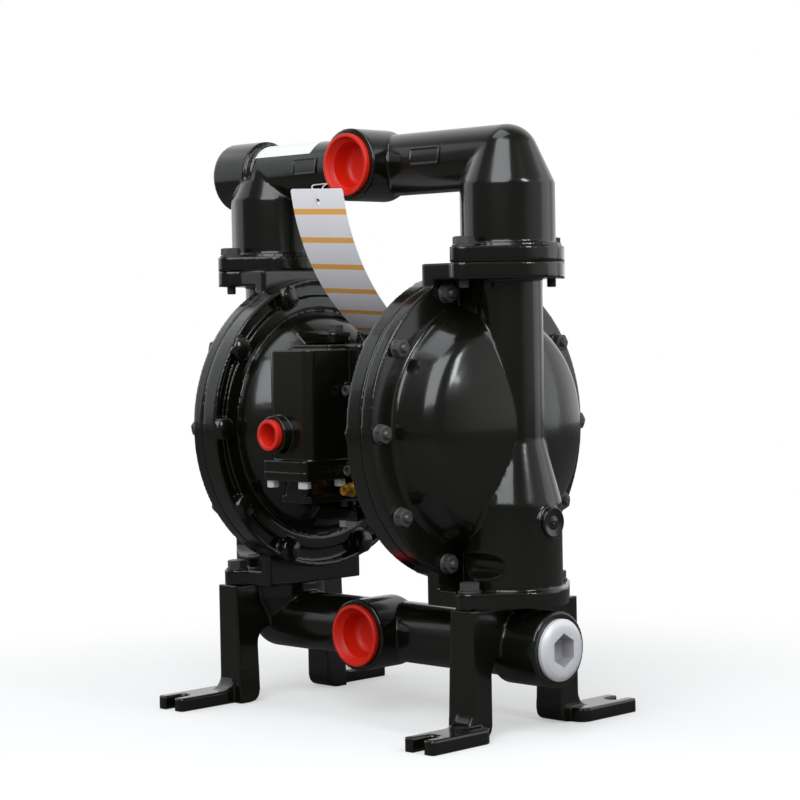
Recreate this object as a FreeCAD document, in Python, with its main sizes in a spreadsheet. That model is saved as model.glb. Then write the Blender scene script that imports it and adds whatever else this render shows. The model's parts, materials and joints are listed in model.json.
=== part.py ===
"""Air-operated double diaphragm pump, modelled as separate pieces in one frame.

X runs along the diaphragm shaft, the ports and the air inlet face -Y, Z is up.
The origin lies on the floor, midway between the four feet.
"""
import FreeCAD, Part
import math
import os
import re

import Sketcher

Vector = FreeCAD.Vector
Rotation = FreeCAD.Rotation

# Driving dimensions in millimetres: name, value, meaning
SIZES = (
    # Main places
    ("column_offset", 157.0, "shaft centre to the axis of each column, along X"),
    ("shaft_height", 275.0, "floor to the diaphragm shaft"),
    ("outlet_height", 521.0, "floor to the axis of the upper pipe"),
    ("outlet_joint", 425.0, "floor to the face between fluid cap and upper manifold"),
    ("inlet_joint", 116.0, "floor to the face between lower manifold and fluid cap"),
    ("inlet_height", 77.5, "floor to the axis of the lower pipe"),
    # Manifold pipes, elbows and ports
    ("pipe_radius", 29.0, "outside of the crossing pipes"),
    ("pipe_bore", 22.0, "radius of the flow passages"),
    ("elbow_radius", 43.2, "outside of the elbow cylinders"),
    ("elbow_drop", 24.6, "pipe axis to the end of the elbow cylinder"),
    ("elbow_lap", 2.0, "pipe's end short of the elbow's axis"),
    ("bore_reach", 12.0, "pipe's bore beyond the elbow's axis"),
    ("rise_bore", 21.0, "passages that meet a pipe's bore"),
    ("port_radius", 34.0, "outside of the port hubs"),
    ("port_reach", 47.5, "pipe axis to the port face"),
    ("hub_round", 12.0, "rounding at the back of a port hub"),
    ("port_bore", 23.3, "radius of the port threads"),
    ("port_depth", 28.0, "depth of the port threads"),
    ("end_radius", 34.5, "outside of the end bosses"),
    ("end_reach", 209.6, "shaft centre to the face of an end boss"),
    ("end_root", 163.9, "shaft centre to the root of an end boss"),
    ("end_neck_radius", 33.5, "outside of the neck behind an end boss"),
    # Two-bolt joints
    ("flange_radius", 50.0, "round middle of a joint flange"),
    ("ear_radius", 12.5, "rounding of a flange ear"),
    ("ear_offset", 59.0, "column axis to a joint bolt, along Y"),
    ("flange_depth", 14.0, "thickness of the upper manifold's ears"),
    ("flange_pad", 3.0, "extra height of the flange's round middle"),
    ("flange_pad_radius", 48.0, "radius of the flange's raised middle"),
    ("cap_flange", 15.0, "thickness of the fluid cap's joint flanges"),
    ("deck_half", 61.0, "half width of the deck that joins flange and chamber"),
    # Ball cages and seats
    ("seat_radius", 33.0, "outside of a ball seat"),
    ("seat_depth", 10.0, "height of a ball seat"),
    ("seal_depth", 2.0, "thickness of a seat ring"),
    ("seal_bore", 27.0, "inside of a seat ring"),
    ("throat_radius", 17.0, "passage through a ball seat"),
    ("throat_depth", 4.0, "straight part of a seat's throat"),
    ("ball_radius", 25.4, "valve ball"),
    ("ball_lift", 12.0, "travel of a valve ball"),
    ("ball_gap", 0.42, "rest clearance under a valve ball"),
    ("cage_radius", 31.0, "inside of a ball cage"),
    ("guide_gap", 0.5, "ball to the guide ribs"),
    ("guide_width", 5.0, "thickness of a guide rib"),
    ("stop_radius", 14.0, "free middle inside the ball stops"),
    ("stop_depth", 6.0, "height of the ball stops"),
    ("seat_gap", 0.05, "radial clearance round a ball seat"),
    # Legs and feet
    ("leg_outer", 171.0, "shaft centre to the outer face of a leg"),
    ("leg_depth", 26.0, "thickness of a leg at the joint"),
    ("leg_draft", 5.0, "extra thickness at the bottom of a leg"),
    ("leg_half", 72.0, "half width of a leg pair, along Y"),
    ("arch_half", 46.5, "half width of the arch between two legs"),
    ("arch_height", 72.0, "floor to the top of the arch"),
    ("arch_round", 16.0, "rounding at the top of the arch"),
    ("heel_round", 12.0, "rounding at the inner bottom of a leg"),
    ("foot_inner", 150.6, "shaft centre to the inner side of a foot"),
    ("foot_outer", 186.0, "shaft centre to the outer side of a foot"),
    ("foot_tip", 139.4, "centre plane to the tip of a foot, along Y"),
    ("foot_heel", 60.0, "centre plane to the heel of a foot, along Y"),
    ("foot_depth", 13.0, "thickness of a foot"),
    ("foot_round", 3.0, "rounding of a foot's tips"),
    ("foot_fillet", 14.0, "rounding between leg and foot"),
    ("slot_width", 13.5, "open slot in a foot"),
    ("slot_depth", 23.0, "length of a foot slot"),
    # Fluid caps
    ("cap_parting", 106.6, "shaft centre to the face between air cap and fluid cap"),
    ("rim_radius", 142.3, "outside of the chamber rims"),
    ("cap_rim", 13.5, "thickness of a fluid cap's rim"),
    ("dome_foot", 114.2, "radius where the dome leaves the rim"),
    ("dome_edge", 102.4, "radius of the dome's shoulder"),
    ("dome_shoulder", 154.6, "shaft centre to the dome's shoulder"),
    ("dome_apex", 182.0, "shaft centre to the top of the dome"),
    ("dome_round", 28.0, "rounding of the dome's shoulder"),
    ("root_round", 5.0, "rounding between rim and dome"),
    ("cap_wall", 6.5, "wall of the fluid cap's dome"),
    ("cap_mouth", 104.0, "opening radius of both chambers"),
    ("column_radius", 30.5, "outside of the upper column"),
    ("chamber_radius", 45.0, "outside of the lower column"),
    ("chamber_top", 208.0, "floor to the end of the wide lower column"),
    ("column_start", 264.0, "floor to the start of the slim upper column"),
    ("wrench_radius", 12.0, "wrench clearance round a stud beside the lower column"),
    ("web_depth", 66.0, "height of the web under the upper deck"),
    ("web_half", 27.0, "half width of the web under the upper deck"),
    # Column plug
    ("plug_height", 191.8, "floor to the column plug"),
    ("plug_boss", 15.5, "boss of the column plug"),
    ("plug_boss_reach", 203.5, "shaft centre to the face of the plug's boss"),
    ("plug_head", 13.8, "head of the column plug"),
    ("plug_head_depth", 3.5, "thickness of the plug's head"),
    ("dimple_radius", 1.5, "dimple in the head of the column plug"),
    ("dimple_depth", 1.0, "depth of the column plug's dimple"),
    ("plug_shank", 8.0, "threaded shank of the column plug"),
    ("plug_shank_depth", 13.0, "length of the plug's shank"),
    # Air caps
    ("air_rim", 17.9, "thickness of an air cap's rim"),
    ("lip_inner", 137.5, "inside of the raised outer lip"),
    ("channel_inner", 124.8, "inside of the stud channel"),
    ("channel_floor", 98.0, "shaft centre to the floor of the stud channel"),
    ("band_face", 93.0, "shaft centre to the flat band inside the channel"),
    ("dish_edge", 110.3, "radius where the dish meets the band"),
    ("dish_face", 95.0, "shaft centre to the edge of the dish"),
    ("dish_radius", 70.0, "section radius of the dish"),
    ("neck_radius", 61.5, "neck against the motor body"),
    ("neck_rise", 4.0, "height of the neck's land"),
    ("neck_bore", 44.6, "opening round the motor body's spigot"),
    ("neck_wall", 12.0, "thickness of the neck"),
    ("air_wall", 7.0, "wall of the dish"),
    ("bead_radius", 122.3, "recess for the diaphragm's bead"),
    ("bead_depth", 3.5, "thickness of the diaphragm at its bead"),
    # Studs round the chambers
    ("stud_circle", 131.0, "pitch radius of the chamber studs"),
    ("stud_radius", 4.0, "chamber stud"),
    ("stud_start", 90.0, "shaft centre to the inner end of a stud"),
    ("stud_tip", 3.5, "stud beyond its nut"),
    ("stud_boss", 11.2, "blind stud boss on an air cap"),
    ("stud_boss_reach", 86.5, "shaft centre to the shoulder of a stud boss"),
    ("stud_boss_crown", 3.5, "crown of a stud boss"),
    ("side_angle", 35.0, "level to the side studs, in degrees"),
    ("upper_angle", 70.0, "level to the upper studs, in degrees"),
    ("lower_angle", 68.0, "level to the lower studs, in degrees"),
    ("nut_width", 15.0, "across flats of a flange nut"),
    ("nut_depth", 8.0, "height of a flange nut"),
    ("nut_flange", 9.25, "radius of a nut's flange"),
    ("nut_flange_depth", 1.8, "thickness of a nut's flange"),
    ("thread_gap", 0.03, "radial clearance in threads"),
    ("hole_gap", 0.5, "radial clearance of bolt holes"),
    # Joint bolts
    ("bolt_radius", 4.5, "joint bolt"),
    ("bolt_width", 17.0, "across flats of a joint bolt"),
    ("bolt_head", 7.5, "height of a joint bolt's head"),
    ("washer_radius", 10.5, "washer of a joint bolt"),
    ("washer_depth", 1.6, "thickness of a washer"),
    ("bolt_grip", 38.0, "length under the head of a joint bolt"),
    # Lugs that hold the air caps to the motor body
    ("upper_lug_start", 24.0, "centre to the tip of an upper lug, along X"),
    ("lower_lug_start", 8.0, "centre to the tip of a lower lug, along X"),
    ("lug_width", 26.0, "width of a lug, along Y"),
    ("upper_lug_front", 48.0, "centre plane to the outer side of an upper lug"),
    ("upper_lug_base", 354.0, "floor to the underside of an upper lug"),
    ("upper_lug_depth", 10.0, "thickness of an upper lug"),
    ("upper_lug_bolt", 34.0, "centre to an upper lug bolt, along X"),
    ("lower_lug_front", 38.0, "centre plane to the outer side of a lower lug"),
    ("lower_lug_base", 184.0, "floor to the underside of a lower lug"),
    ("lower_lug_depth", 11.0, "thickness of a lower lug"),
    ("lower_lug_bolt", 34.0, "centre to a lower lug bolt, along X"),
    ("lug_round", 6.0, "rounding of a lug's tip"),
    ("lug_bolt_radius", 4.0, "lug bolt"),
    ("lug_bolt_width", 13.5, "across flats of a lug bolt"),
    ("lug_bolt_head", 7.0, "height of a lug bolt's head"),
    ("lug_bolt_bite", 14.0, "lug bolt inside the motor body"),
    # Motor body
    ("body_half", 42.0, "half length of the motor body, along X"),
    ("body_front", 78.0, "centre plane to the front of the motor body"),
    ("body_back", 75.0, "centre plane to the back of the motor body"),
    ("body_base", 208.0, "floor to the underside of the motor body"),
    ("body_top", 353.0, "floor to the top of the motor body"),
    ("body_chamfer", 3.5, "chamfer of the motor body's upright edges"),
    ("body_pad", 1.0, "height of the pads under the upper lugs"),
    ("body_pad_radius", 8.0, "pads under the lug bolts"),
    ("spigot_radius", 44.0, "spigot in the air cap's neck"),
    ("spigot_depth", 8.0, "length of a spigot"),
    ("shaft_tunnel", 12.5, "clear bore between the bushings"),
    ("exhaust_radius", 12.3, "threaded exhaust port"),
    ("exhaust_depth", 26.0, "depth of the exhaust port"),
    ("exhaust_height", 300.0, "floor to the exhaust port"),
    ("exhaust_boss", 20.0, "boss of the exhaust port"),
    ("exhaust_boss_depth", 6.0, "height of the exhaust boss"),
    # Shaft, plates and diaphragms
    ("shaft_radius", 11.0, "main shaft"),
    ("shaft_gap", 0.05, "radial running clearance of shaft and pilot rod"),
    ("bushing_radius", 14.0, "outside of a shaft bushing"),
    ("bushing_depth", 20.0, "length of a shaft bushing"),
    ("ring_radius", 16.0, "outside of a shaft seal"),
    ("ring_depth", 5.0, "length of a shaft seal"),
    ("inner_plate", 58.5, "radius of an inner diaphragm plate"),
    ("inner_plate_depth", 9.5, "thickness of an inner plate"),
    ("inner_hub", 21.0, "radius of an inner plate's hub"),
    ("inner_hub_depth", 7.6, "height of an inner plate's hub"),
    ("outer_plate", 55.0, "radius of an outer diaphragm plate"),
    ("outer_plate_depth", 11.0, "thickness of an outer plate"),
    ("outer_plate_edge", 5.0, "thickness at the edge of an outer plate"),
    ("plate_round", 3.0, "rounding of a plate's edge"),
    ("plate_bolt", 8.0, "plate bolt"),
    ("plate_bolt_width", 24.0, "across flats of a plate bolt"),
    ("plate_bolt_head", 10.0, "height of a plate bolt's head"),
    ("plate_bolt_bite", 22.0, "plate bolt inside the shaft"),
    ("fold_inner", 61.0, "inner edge of the diaphragm's fold"),
    ("fold_outer", 103.0, "outer edge of the diaphragm's fold"),
    ("fold_radius", 30.0, "section radius of the diaphragm's fold"),
    ("bead_gap", 0.3, "radial clearance round the diaphragm"),
    # Pilot rod
    ("pilot_radius", 5.0, "pilot rod"),
    ("pilot_half", 61.2, "half length of the pilot rod"),
    ("pilot_drop", 33.0, "shaft to pilot rod"),
    ("pilot_bush", 7.0, "outside of a pilot bushing"),
    ("pilot_bush_depth", 14.0, "length of a pilot bushing"),
    ("pilot_waist", 3.6, "waist of the pilot rod"),
    ("pilot_waist_half", 8.0, "half length of the pilot rod's waist"),
    # Valve block
    ("block_half", 28.5, "half width of the valve block"),
    ("block_front", 129.5, "centre plane to the front of the valve block"),
    ("block_base", 248.0, "floor to the underside of the valve block's body"),
    ("block_top", 348.6, "floor to the top of the valve block"),
    ("block_round", 9.0, "rounding of the valve block's upright edges"),
    ("block_pad_half", 26.0, "half width of the pad on top of the valve block"),
    ("block_pad_front", 101.0, "centre plane to the front of the top pad"),
    ("block_pad_rise", 4.4, "height of the top pad"),
    ("block_pad_round", 3.0, "rounding of the top pad"),
    ("base_half", 29.5, "half width of the valve block's base flange"),
    ("base_front", 138.0, "centre plane to the front of the base flange"),
    ("base_depth", 10.1, "thickness of the base flange"),
    ("base_round", 6.0, "rounding of the base flange's corners"),
    ("gasket_depth", 0.8, "thickness of the gasket behind the valve block"),
    ("lug_plate", 6.0, "thickness of the valve block's screw ears"),
    ("block_screw_offset", 35.0, "centre to a valve block screw, along X"),
    ("block_screw_low", 237.5, "floor to the lower valve block screws"),
    ("block_screw_high", 311.0, "floor to the upper valve block screws"),
    ("block_ear_radius", 7.0, "rounding of the valve block's screw ears"),
    ("block_screw_head", 5.0, "radius of a socket screw's head"),
    ("block_screw_depth", 6.0, "height of a socket screw's head"),
    ("block_screw_radius", 3.0, "valve block screw"),
    ("block_screw_bite", 14.0, "valve block screw inside the motor body"),
    ("socket_width", 5.0, "across flats of a socket screw's recess"),
    # Air inlet
    ("inlet_offset", -12.0, "centre to the air inlet, along X"),
    ("air_inlet_height", 271.5, "floor to the air inlet"),
    ("inlet_boss", 17.5, "air inlet boss"),
    ("inlet_face", 139.4, "centre plane to the face of the air inlet"),
    ("inlet_bore", 10.5, "radius of the air inlet's thread"),
    ("inlet_depth", 22.0, "depth of the air inlet's thread"),
    ("inlet_rib", 5.0, "thickness of the small rib beside the air inlet"),
    # Spool and valve plate
    ("spool_place", 100.0, "centre plane to the spool's axis"),
    ("spool_bore", 14.0, "bore of the spool"),
    ("spool_gap", 0.05, "radial running clearance of the spool"),
    ("spool_bottom", 244.0, "floor to the lower end of the spool"),
    ("spool_length", 80.0, "length of the spool"),
    ("spool_travel", 12.0, "travel of the spool"),
    ("spool_waist", 8.0, "waist of the spool"),
    ("waist_low", 276.0, "floor to the lower end of the spool's waist"),
    ("waist_length", 28.0, "length of the spool's waist"),
    ("bore_top", 341.0, "floor to the closed end of the spool's bore"),
    ("cup_depth", 5.0, "length of a spool cup seal"),
    ("plate_half", 15.0, "half width of the valve plate"),
    ("plate_low", 262.0, "floor to the lower end of the valve plate"),
    ("plate_high", 318.0, "floor to the upper end of the valve plate"),
    ("plate_depth", 4.0, "thickness of the valve plate"),
    ("plate_port_edge", 8.0, "end of the valve plate to its outer ports"),
    ("plate_port", 6.0, "height of an outer port"),
    ("plate_port_middle", 8.0, "height of the middle port"),
    ("insert_half", 9.0, "half width of the valve insert"),
    ("insert_gap", 0.1, "clearance round the valve insert"),
    # Valve end cap
    ("ear_base", 229.6, "floor to the underside of the end cap's ears"),
    ("end_cap_half", 15.4, "half width of the end cap's body"),
    ("end_foot_half", 20.0, "half width of the end cap's foot"),
    ("end_cap_front", 124.5, "centre plane to the front of the end cap"),
    ("end_cap_back", 80.0, "centre plane to the back of the end cap"),
    ("end_cap_foot", 6.5, "thickness of the end cap's foot"),
    ("end_cap_base", 208.5, "floor to the underside of the end cap"),
    ("end_cap_round", 6.0, "rounding of the end cap's front"),
    ("end_screw_offset", 21.5, "centre to an end cap screw, along X"),
    ("end_screw_front", 131.0, "centre plane to the front end cap screws"),
    ("end_screw_back", 87.0, "centre plane to the rear end cap screws"),
    ("end_screw_width", 10.0, "across flats of an end cap screw"),
    ("end_screw_head", 6.9, "height of an end cap screw's head"),
    ("end_screw_radius", 3.0, "end cap screw"),
    ("end_screw_bite", 8.0, "end cap screw above the ears"),
    # Brass fitting
    ("fitting_offset", 34.5, "centre to the brass fitting, along X"),
    ("fitting_height", 219.5, "floor to the brass fitting"),
    ("fitting_width", 12.0, "across flats of the brass fitting"),
    ("fitting_hex", 6.0, "length of the fitting's hexagon"),
    ("fitting_ring", 6.4, "collar of the brass fitting"),
    ("fitting_ring_depth", 2.0, "thickness of the fitting's collar"),
    ("fitting_nose", 5.0, "tip of the brass fitting"),
    ("fitting_nose_depth", 9.0, "length of the fitting's nose"),
    ("fitting_nose_taper", 0.8, "extra radius at the root of the nose"),
    ("fitting_thread", 4.5, "thread of the brass fitting"),
    ("fitting_bite", 9.0, "fitting's thread inside the motor body"),
    ("fitting_mouth", 3.4, "open mouth of the brass fitting"),
    ("fitting_mouth_depth", 10.0, "depth of the fitting's mouth"),
    # Plugs and dust caps
    ("end_plug_radius", 28.0, "collar of the shouldered end plug"),
    ("end_plug_rise", 6.6, "thickness of the end plug's collar"),
    ("end_plug_chamfer", 1.2, "chamfer of the end plug's collar"),
    ("end_plug_bite", 20.0, "thread length of an end plug"),
    ("end_plug_socket", 27.0, "across flats of the shouldered plug's socket"),
    ("end_plug_hole", 12.0, "depth of an end plug's socket"),
    ("blind_plug_sink", 3.0, "blind plug below the face of its boss"),
    ("blind_plug_socket", 24.0, "across flats of the blind plug's socket"),
    ("cap_rim_radius", 29.3, "rim of a port's dust cap"),
    ("cap_rim_depth", 5.0, "thickness of a dust cap's rim"),
    ("cap_skin", 1.6, "wall of a dust cap"),
    ("cap_bite", 22.0, "dust cap inside the port"),
    ("cap_fit", 0.1, "radial clearance of a dust cap"),
    ("air_cap_rim", 14.3, "rim of the air inlet's dust cap"),
    ("air_cap_rise", 6.0, "thickness of the small dust cap's rim"),
    ("air_cap_bite", 12.0, "small dust cap inside the inlet"),
    # Hang tag, tie and label
    ("tag_width", 71.0, "width of the hang tag"),
    ("tag_side", 53.0, "centre to the left side of the hang tag"),
    ("tag_depth", 0.5, "thickness of the hang tag"),
    ("tag_hole", 3.0, "radius of the hang tag's hole"),
    ("tag_eye", 487.0, "floor to the hang tag's hole"),
    ("tag_top", 500.5, "floor to the top edge of the hang tag"),
    ("tag_front", 72.5, "centre plane to the top edge of the hang tag"),
    ("tag_bend", 429.5, "floor to the middle of the hang tag's curl"),
    ("tag_bend_front", 48.0, "centre plane to the middle of the curl"),
    ("tag_low", 361.5, "floor to the lower edge of the hang tag"),
    ("tag_back", 18.5, "centre plane to the lower edge of the hang tag"),
    ("tie_radius", 0.9, "thin tie of the hang tag"),
    ("tie_lean", 31.0, "level to the tie's hold on the port's dust cap, in degrees"),
    ("tie_side", -8.0, "hole to the tie's pass over the card's edge, along X"),
    ("tie_behind", 7.0, "card's top edge to the tie's bend behind the hole"),
)

doc = FreeCAD.newDocument("diaphragm_pump")
sheet = doc.addObject("Spreadsheet::Sheet", "Dim")
for row, (alias, size, meaning) in enumerate(SIZES, start=1):
    sheet.set(f"A{row}", alias)
    sheet.set(f"B{row}", str(size))
    sheet.set(f"C{row}", meaning)
    sheet.setAlias(f"B{row}", alias)
doc.recompute()

ALIAS = re.compile(r"\b([a-z]+(?:_[a-z]+)+)\b")
NODES = {}


def bound(text):
    """Write a size's expression in the form that a property or constraint takes."""
    return ALIAS.sub(r"Dim.\1", str(text))


def value(text):
    """Work out an expression of the sheet's sizes as a number."""
    return float(sheet.evalExpression(bound(text)))


TURNS = {
    "x": Rotation(Vector(0, 1, 0), 90),
    "-x": Rotation(Vector(0, 1, 0), -90),
    "y": Rotation(Vector(1, 0, 0), -90),
    "-y": Rotation(Vector(1, 0, 0), 90),
    "z": Rotation(),
    "-z": Rotation(Vector(1, 0, 0), 180),
}


def place(piece, at, along="z"):
    """Turn a piece so that its own Z points along an axis, and bind its place."""
    piece.Placement = FreeCAD.Placement(Vector(*[value(text) for text in at]), TURNS[along])
    for axis, text in zip("xyz", at):
        piece.setExpression(f"Placement.Base.{axis}", bound(text))
    return piece


def rod(label, radius, length, at, along="z"):
    """Cylinder that starts at a point and runs along an axis."""
    piece = doc.addObject("Part::Cylinder", label)
    piece.setExpression("Radius", bound(radius))
    piece.setExpression("Height", bound(length))
    return place(piece, at, along)


def taper(label, start_radius, end_radius, length, at, along="z"):
    """Cone frustum that starts at a point and runs along an axis."""
    piece = doc.addObject("Part::Cone", label)
    piece.setExpression("Radius1", bound(start_radius))
    piece.setExpression("Radius2", bound(end_radius))
    piece.setExpression("Height", bound(length))
    return place(piece, at, along)


def ball(label, radius, at):
    """Sphere round a point."""
    piece = doc.addObject("Part::Sphere", label)
    piece.setExpression("Radius", bound(radius))
    return place(piece, at)


def block(label, x_span, y_span, z_span):
    """Box between two planes along each axis."""
    piece = doc.addObject("Part::Box", label)
    for side, (low, high) in zip(("Length", "Width", "Height"), (x_span, y_span, z_span)):
        piece.setExpression(side, bound(f"({high}) - ({low})"))
    return place(piece, (x_span[0], y_span[0], z_span[0]))


def hexagon(label, across, length, at, along="z"):
    """Hexagonal bar, sized across its flats."""
    piece = doc.addObject("Part::Prism", label)
    piece.Polygon = 6
    piece.setExpression("Circumradius", bound(f"({across}) / 2 / cos(30)"))
    piece.setExpression("Height", bound(length))
    return place(piece, at, along)


def union(label, *pieces):
    """Join several pieces into one solid."""
    joined = doc.addObject("Part::MultiFuse", label)
    joined.Shapes = list(pieces)
    joined.Refine = True
    return joined


def cut(label, base, *tools):
    """Take one or more tools away from a piece."""
    rest = doc.addObject("Part::Cut", label)
    rest.Base = base
    rest.Tool = tools[0]
    if len(tools) > 1:
        rest.Tool = union(f"{label}_tools", *tools)
    return rest


def common(label, *pieces):
    """Keep what several pieces share."""
    shared = doc.addObject("Part::MultiCommon", label)
    shared.Shapes = list(pieces)
    return shared


def mirrored(label, source, normal):
    """Mirror a piece about a plane through the origin."""
    twin = doc.addObject("Part::Mirroring", label)
    twin.Source = source
    twin.Normal = Vector(*normal)
    return twin


def plane_of(body, role):
    """Find an origin plane of a body by its role."""
    return next(item for item in body.Origin.OriginFeatures if item.Role == role)


def arc_between(start, end, radius):
    """Arc from start to end: its centre lies left of the way for a positive radius."""
    chord = math.dist(start, end)
    reach = math.sqrt(max(radius * radius - chord * chord / 4, 0.0))
    side = 1 if radius > 0 else -1
    along = ((end[0] - start[0]) / chord, (end[1] - start[1]) / chord)
    centre = (
        (start[0] + end[0]) / 2 - side * along[1] * reach,
        (start[1] + end[1]) / 2 + side * along[0] * reach,
    )
    first, last = (start, end) if radius > 0 else (end, start)
    angles = [math.atan2(point[1] - centre[1], point[0] - centre[0]) for point in (first, last)]
    circle = Part.Circle(Vector(*centre, 0), Vector(0, 0, 1), abs(radius))
    return Part.ArcOfCircle(circle, *angles)


def outline(body, role, corners):
    """Draw a closed outline on an origin plane and bind every corner.

    A corner is (u, v), or (u, v, radius) where an arc leads on to the next corner.
    """
    sketch = body.newObject("Sketcher::SketchObject", f"{body.Name}_outline")
    sketch.AttachmentSupport = [(plane_of(body, role), "")]
    sketch.MapMode = "FlatFace"
    points = [(value(corner[0]), value(corner[1])) for corner in corners]
    starts = []
    ends = []
    for index, corner in enumerate(corners):
        start = points[index]
        end = points[(index + 1) % len(points)]
        bend = value(corner[2]) if len(corner) > 2 else 0
        if bend:
            sketch.addGeometry(arc_between(start, end, bend), False)
        else:
            sketch.addGeometry(Part.LineSegment(Vector(*start, 0), Vector(*end, 0)), False)
        starts.append(2 if bend < 0 else 1)
        ends.append(1 if bend < 0 else 2)
    for index in range(len(corners)):
        following = (index + 1) % len(corners)
        sketch.addConstraint(
            Sketcher.Constraint("Coincident", index, ends[index], following, starts[following])
        )
    for index, corner in enumerate(corners):
        for kind, text, size in zip(("DistanceX", "DistanceY"), corner, points[index]):
            rule = Sketcher.Constraint(kind, -1, 1, index, starts[index], size)
            number = sketch.addConstraint(rule)
            sketch.setExpression(f"Constraints[{number}]", bound(text))
        if len(corner) > 2:
            number = sketch.addConstraint(Sketcher.Constraint("Radius", index, abs(value(corner[2]))))
            sketch.setExpression(f"Constraints[{number}]", bound(f"abs({corner[2]})"))
    return sketch


def turned(label, about, corners, at=("0", "0", "0"), along="z"):
    """Revolve an outline of (axis, radius) corners about X or Y, or (radius, axis) about Z."""
    body = doc.addObject("PartDesign::Body", label)
    role = "YZ_Plane" if about == "y" else "XZ_Plane"
    sketch = outline(body, role, corners)
    turn = body.newObject("PartDesign::Revolution", f"{label}_turn")
    turn.Profile = sketch
    turn.ReferenceAxis = (sketch, ["V_Axis" if about == "z" else "H_Axis"])
    turn.Angle = 360
    return place(body, at, along)


def extruded(label, role, corners, length, at=("0", "0", "0"), along="z"):
    """Pad an outline from an origin plane, upwards, towards -Y or towards +X."""
    body = doc.addObject("PartDesign::Body", label)
    sketch = outline(body, role, corners)
    pad = body.newObject("PartDesign::Pad", f"{label}_pad")
    pad.Profile = sketch
    pad.setExpression("Length", bound(length))
    return place(body, at, along)


def softened(body, radius, *rings):
    """Fillet the circular edges of a turned body that have the given radii."""
    doc.recompute()
    names = []
    for index, edge in enumerate(body.Shape.Edges, start=1):
        if edge.Degenerated or not isinstance(edge.Curve, Part.Circle) or len(edge.Vertexes) > 1:
            continue
        if any(abs(edge.Curve.Radius - value(size)) < 1e-6 for size in rings):
            names.append(f"Edge{index}")
    base = body.Tip
    fillet = body.newObject("PartDesign::Fillet", f"{body.Name}_fillet")
    fillet.Base = (base, names)
    fillet.setExpression("Radius", bound(radius))
    return body


def group(label, *pieces):
    """Keep several separate solids together as one group."""
    together = doc.addObject("Part::Compound", label)
    together.Links = list(pieces)
    return together


def node(name, piece):
    """Give a finished piece the name of its node."""
    piece.Label = name
    NODES[name] = piece
    return piece


def ring(label, outer, inner, length, at, along="z"):
    """Ring that starts at a point and runs along an axis."""
    return cut(
        label,
        rod(f"{label}_disc", outer, length, at, along),
        rod(f"{label}_hole", inner, length, at, along),
    )


def both(label, right):
    """A piece for the right side and its mirror image for the left."""
    return union(label, right, mirrored(f"{label}_twin", right, (1, 0, 0)))


# Two-bolt joints
EAR_SINE = "((flange_radius - ear_radius) / ear_offset)"
EAR_COSINE = f"sqrt(1 - {EAR_SINE}^2)"


def flange(label, depth, at):
    """Two-bolt flange: a round middle and two ears, joined by tangents."""
    wide_x = f"flange_radius * {EAR_COSINE}"
    wide_y = f"flange_radius * {EAR_SINE}"
    ear_x = f"ear_radius * {EAR_COSINE}"
    ear_y = f"(ear_offset + ear_radius * {EAR_SINE})"
    corners = (
        (wide_x, f"-{wide_y}", "flange_radius"),
        (wide_x, wide_y),
        (ear_x, ear_y, "ear_radius"),
        (f"-{ear_x}", ear_y),
        (f"-{wide_x}", wide_y, "flange_radius"),
        (f"-{wide_x}", f"-{wide_y}"),
        (f"-{ear_x}", f"-{ear_y}", "ear_radius"),
        (ear_x, f"-{ear_y}"),
    )
    return extruded(label, "XY_Plane", corners, depth, at)


# Ball cages: counterbore for the seat, guide ribs, stops and the passage above
SEAT_TOP = "(seal_depth + seat_depth)"
BALL_REST = "(seal_depth + throat_depth - throat_radius + ball_radius * sqrt(2) + ball_gap)"
STOP_PLANE = f"({BALL_REST} + ball_lift + ball_gap + sqrt(ball_radius^2 - stop_radius^2))"
CAGE_TOP = f"({STOP_PLANE} + stop_depth)"


def cage(label, joint, passage):
    """Hollow of one ball cage on the right column, with its ribs left standing."""
    x = "column_offset"
    hollow = union(
        f"{label}_hollow",
        rod(f"{label}_counterbore", "seat_radius + seat_gap", SEAT_TOP, (x, "0", joint)),
        rod(
            f"{label}_chamber",
            "cage_radius",
            f"{CAGE_TOP} - {SEAT_TOP} + 1",
            (x, "0", f"{joint} + {SEAT_TOP} - 1"),
        ),
        rod(f"{label}_passage", "rise_bore", passage, (x, "0", f"{joint} + {CAGE_TOP}")),
    )
    low = f"{joint} + {SEAT_TOP}"
    high = f"{joint} + {CAGE_TOP}"
    reach = "(cage_radius + 1)"
    half = "guide_width / 2"
    cross = union(
        f"{label}_cross",
        block(f"{label}_rib_x", (f"{x} - {reach}", f"{x} + {reach}"), (f"-{half}", half), (low, high)),
        block(f"{label}_rib_y", (f"{x} - {half}", f"{x} + {half}"), (f"-{reach}", reach), (low, high)),
    )
    way = rod(
        f"{label}_way",
        "ball_radius + guide_gap",
        f"{STOP_PLANE} - {SEAT_TOP} + 1",
        (x, "0", f"{low} - 1"),
    )
    eye = rod(f"{label}_eye", "stop_radius", f"{CAGE_TOP}", (x, "0", low))
    return cut(f"{label}_cage", hollow, cut(f"{label}_ribs", cross, way, eye))


# Manifolds
PIPE_END = "(column_offset - elbow_lap)"
BORE_END = "(column_offset + bore_reach)"
PIPE_TILT = "(acos(pipe_radius / hypot(elbow_radius; elbow_drop)) - atan2(elbow_drop; elbow_radius))"


def elbow(label, rise, at, along="z"):
    """Elbow over a column: a cylinder that tapers onto the round end of the pipe."""
    corners = (
        ("0", "0"),
        ("elbow_radius", "0"),
        ("elbow_radius", f"{rise} - elbow_drop"),
        (f"pipe_radius * cos({PIPE_TILT})", f"{rise} + pipe_radius * sin({PIPE_TILT})", "pipe_radius"),
        ("0", f"{rise} + pipe_radius"),
    )
    return turned(label, "z", corners, at, along)


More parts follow.
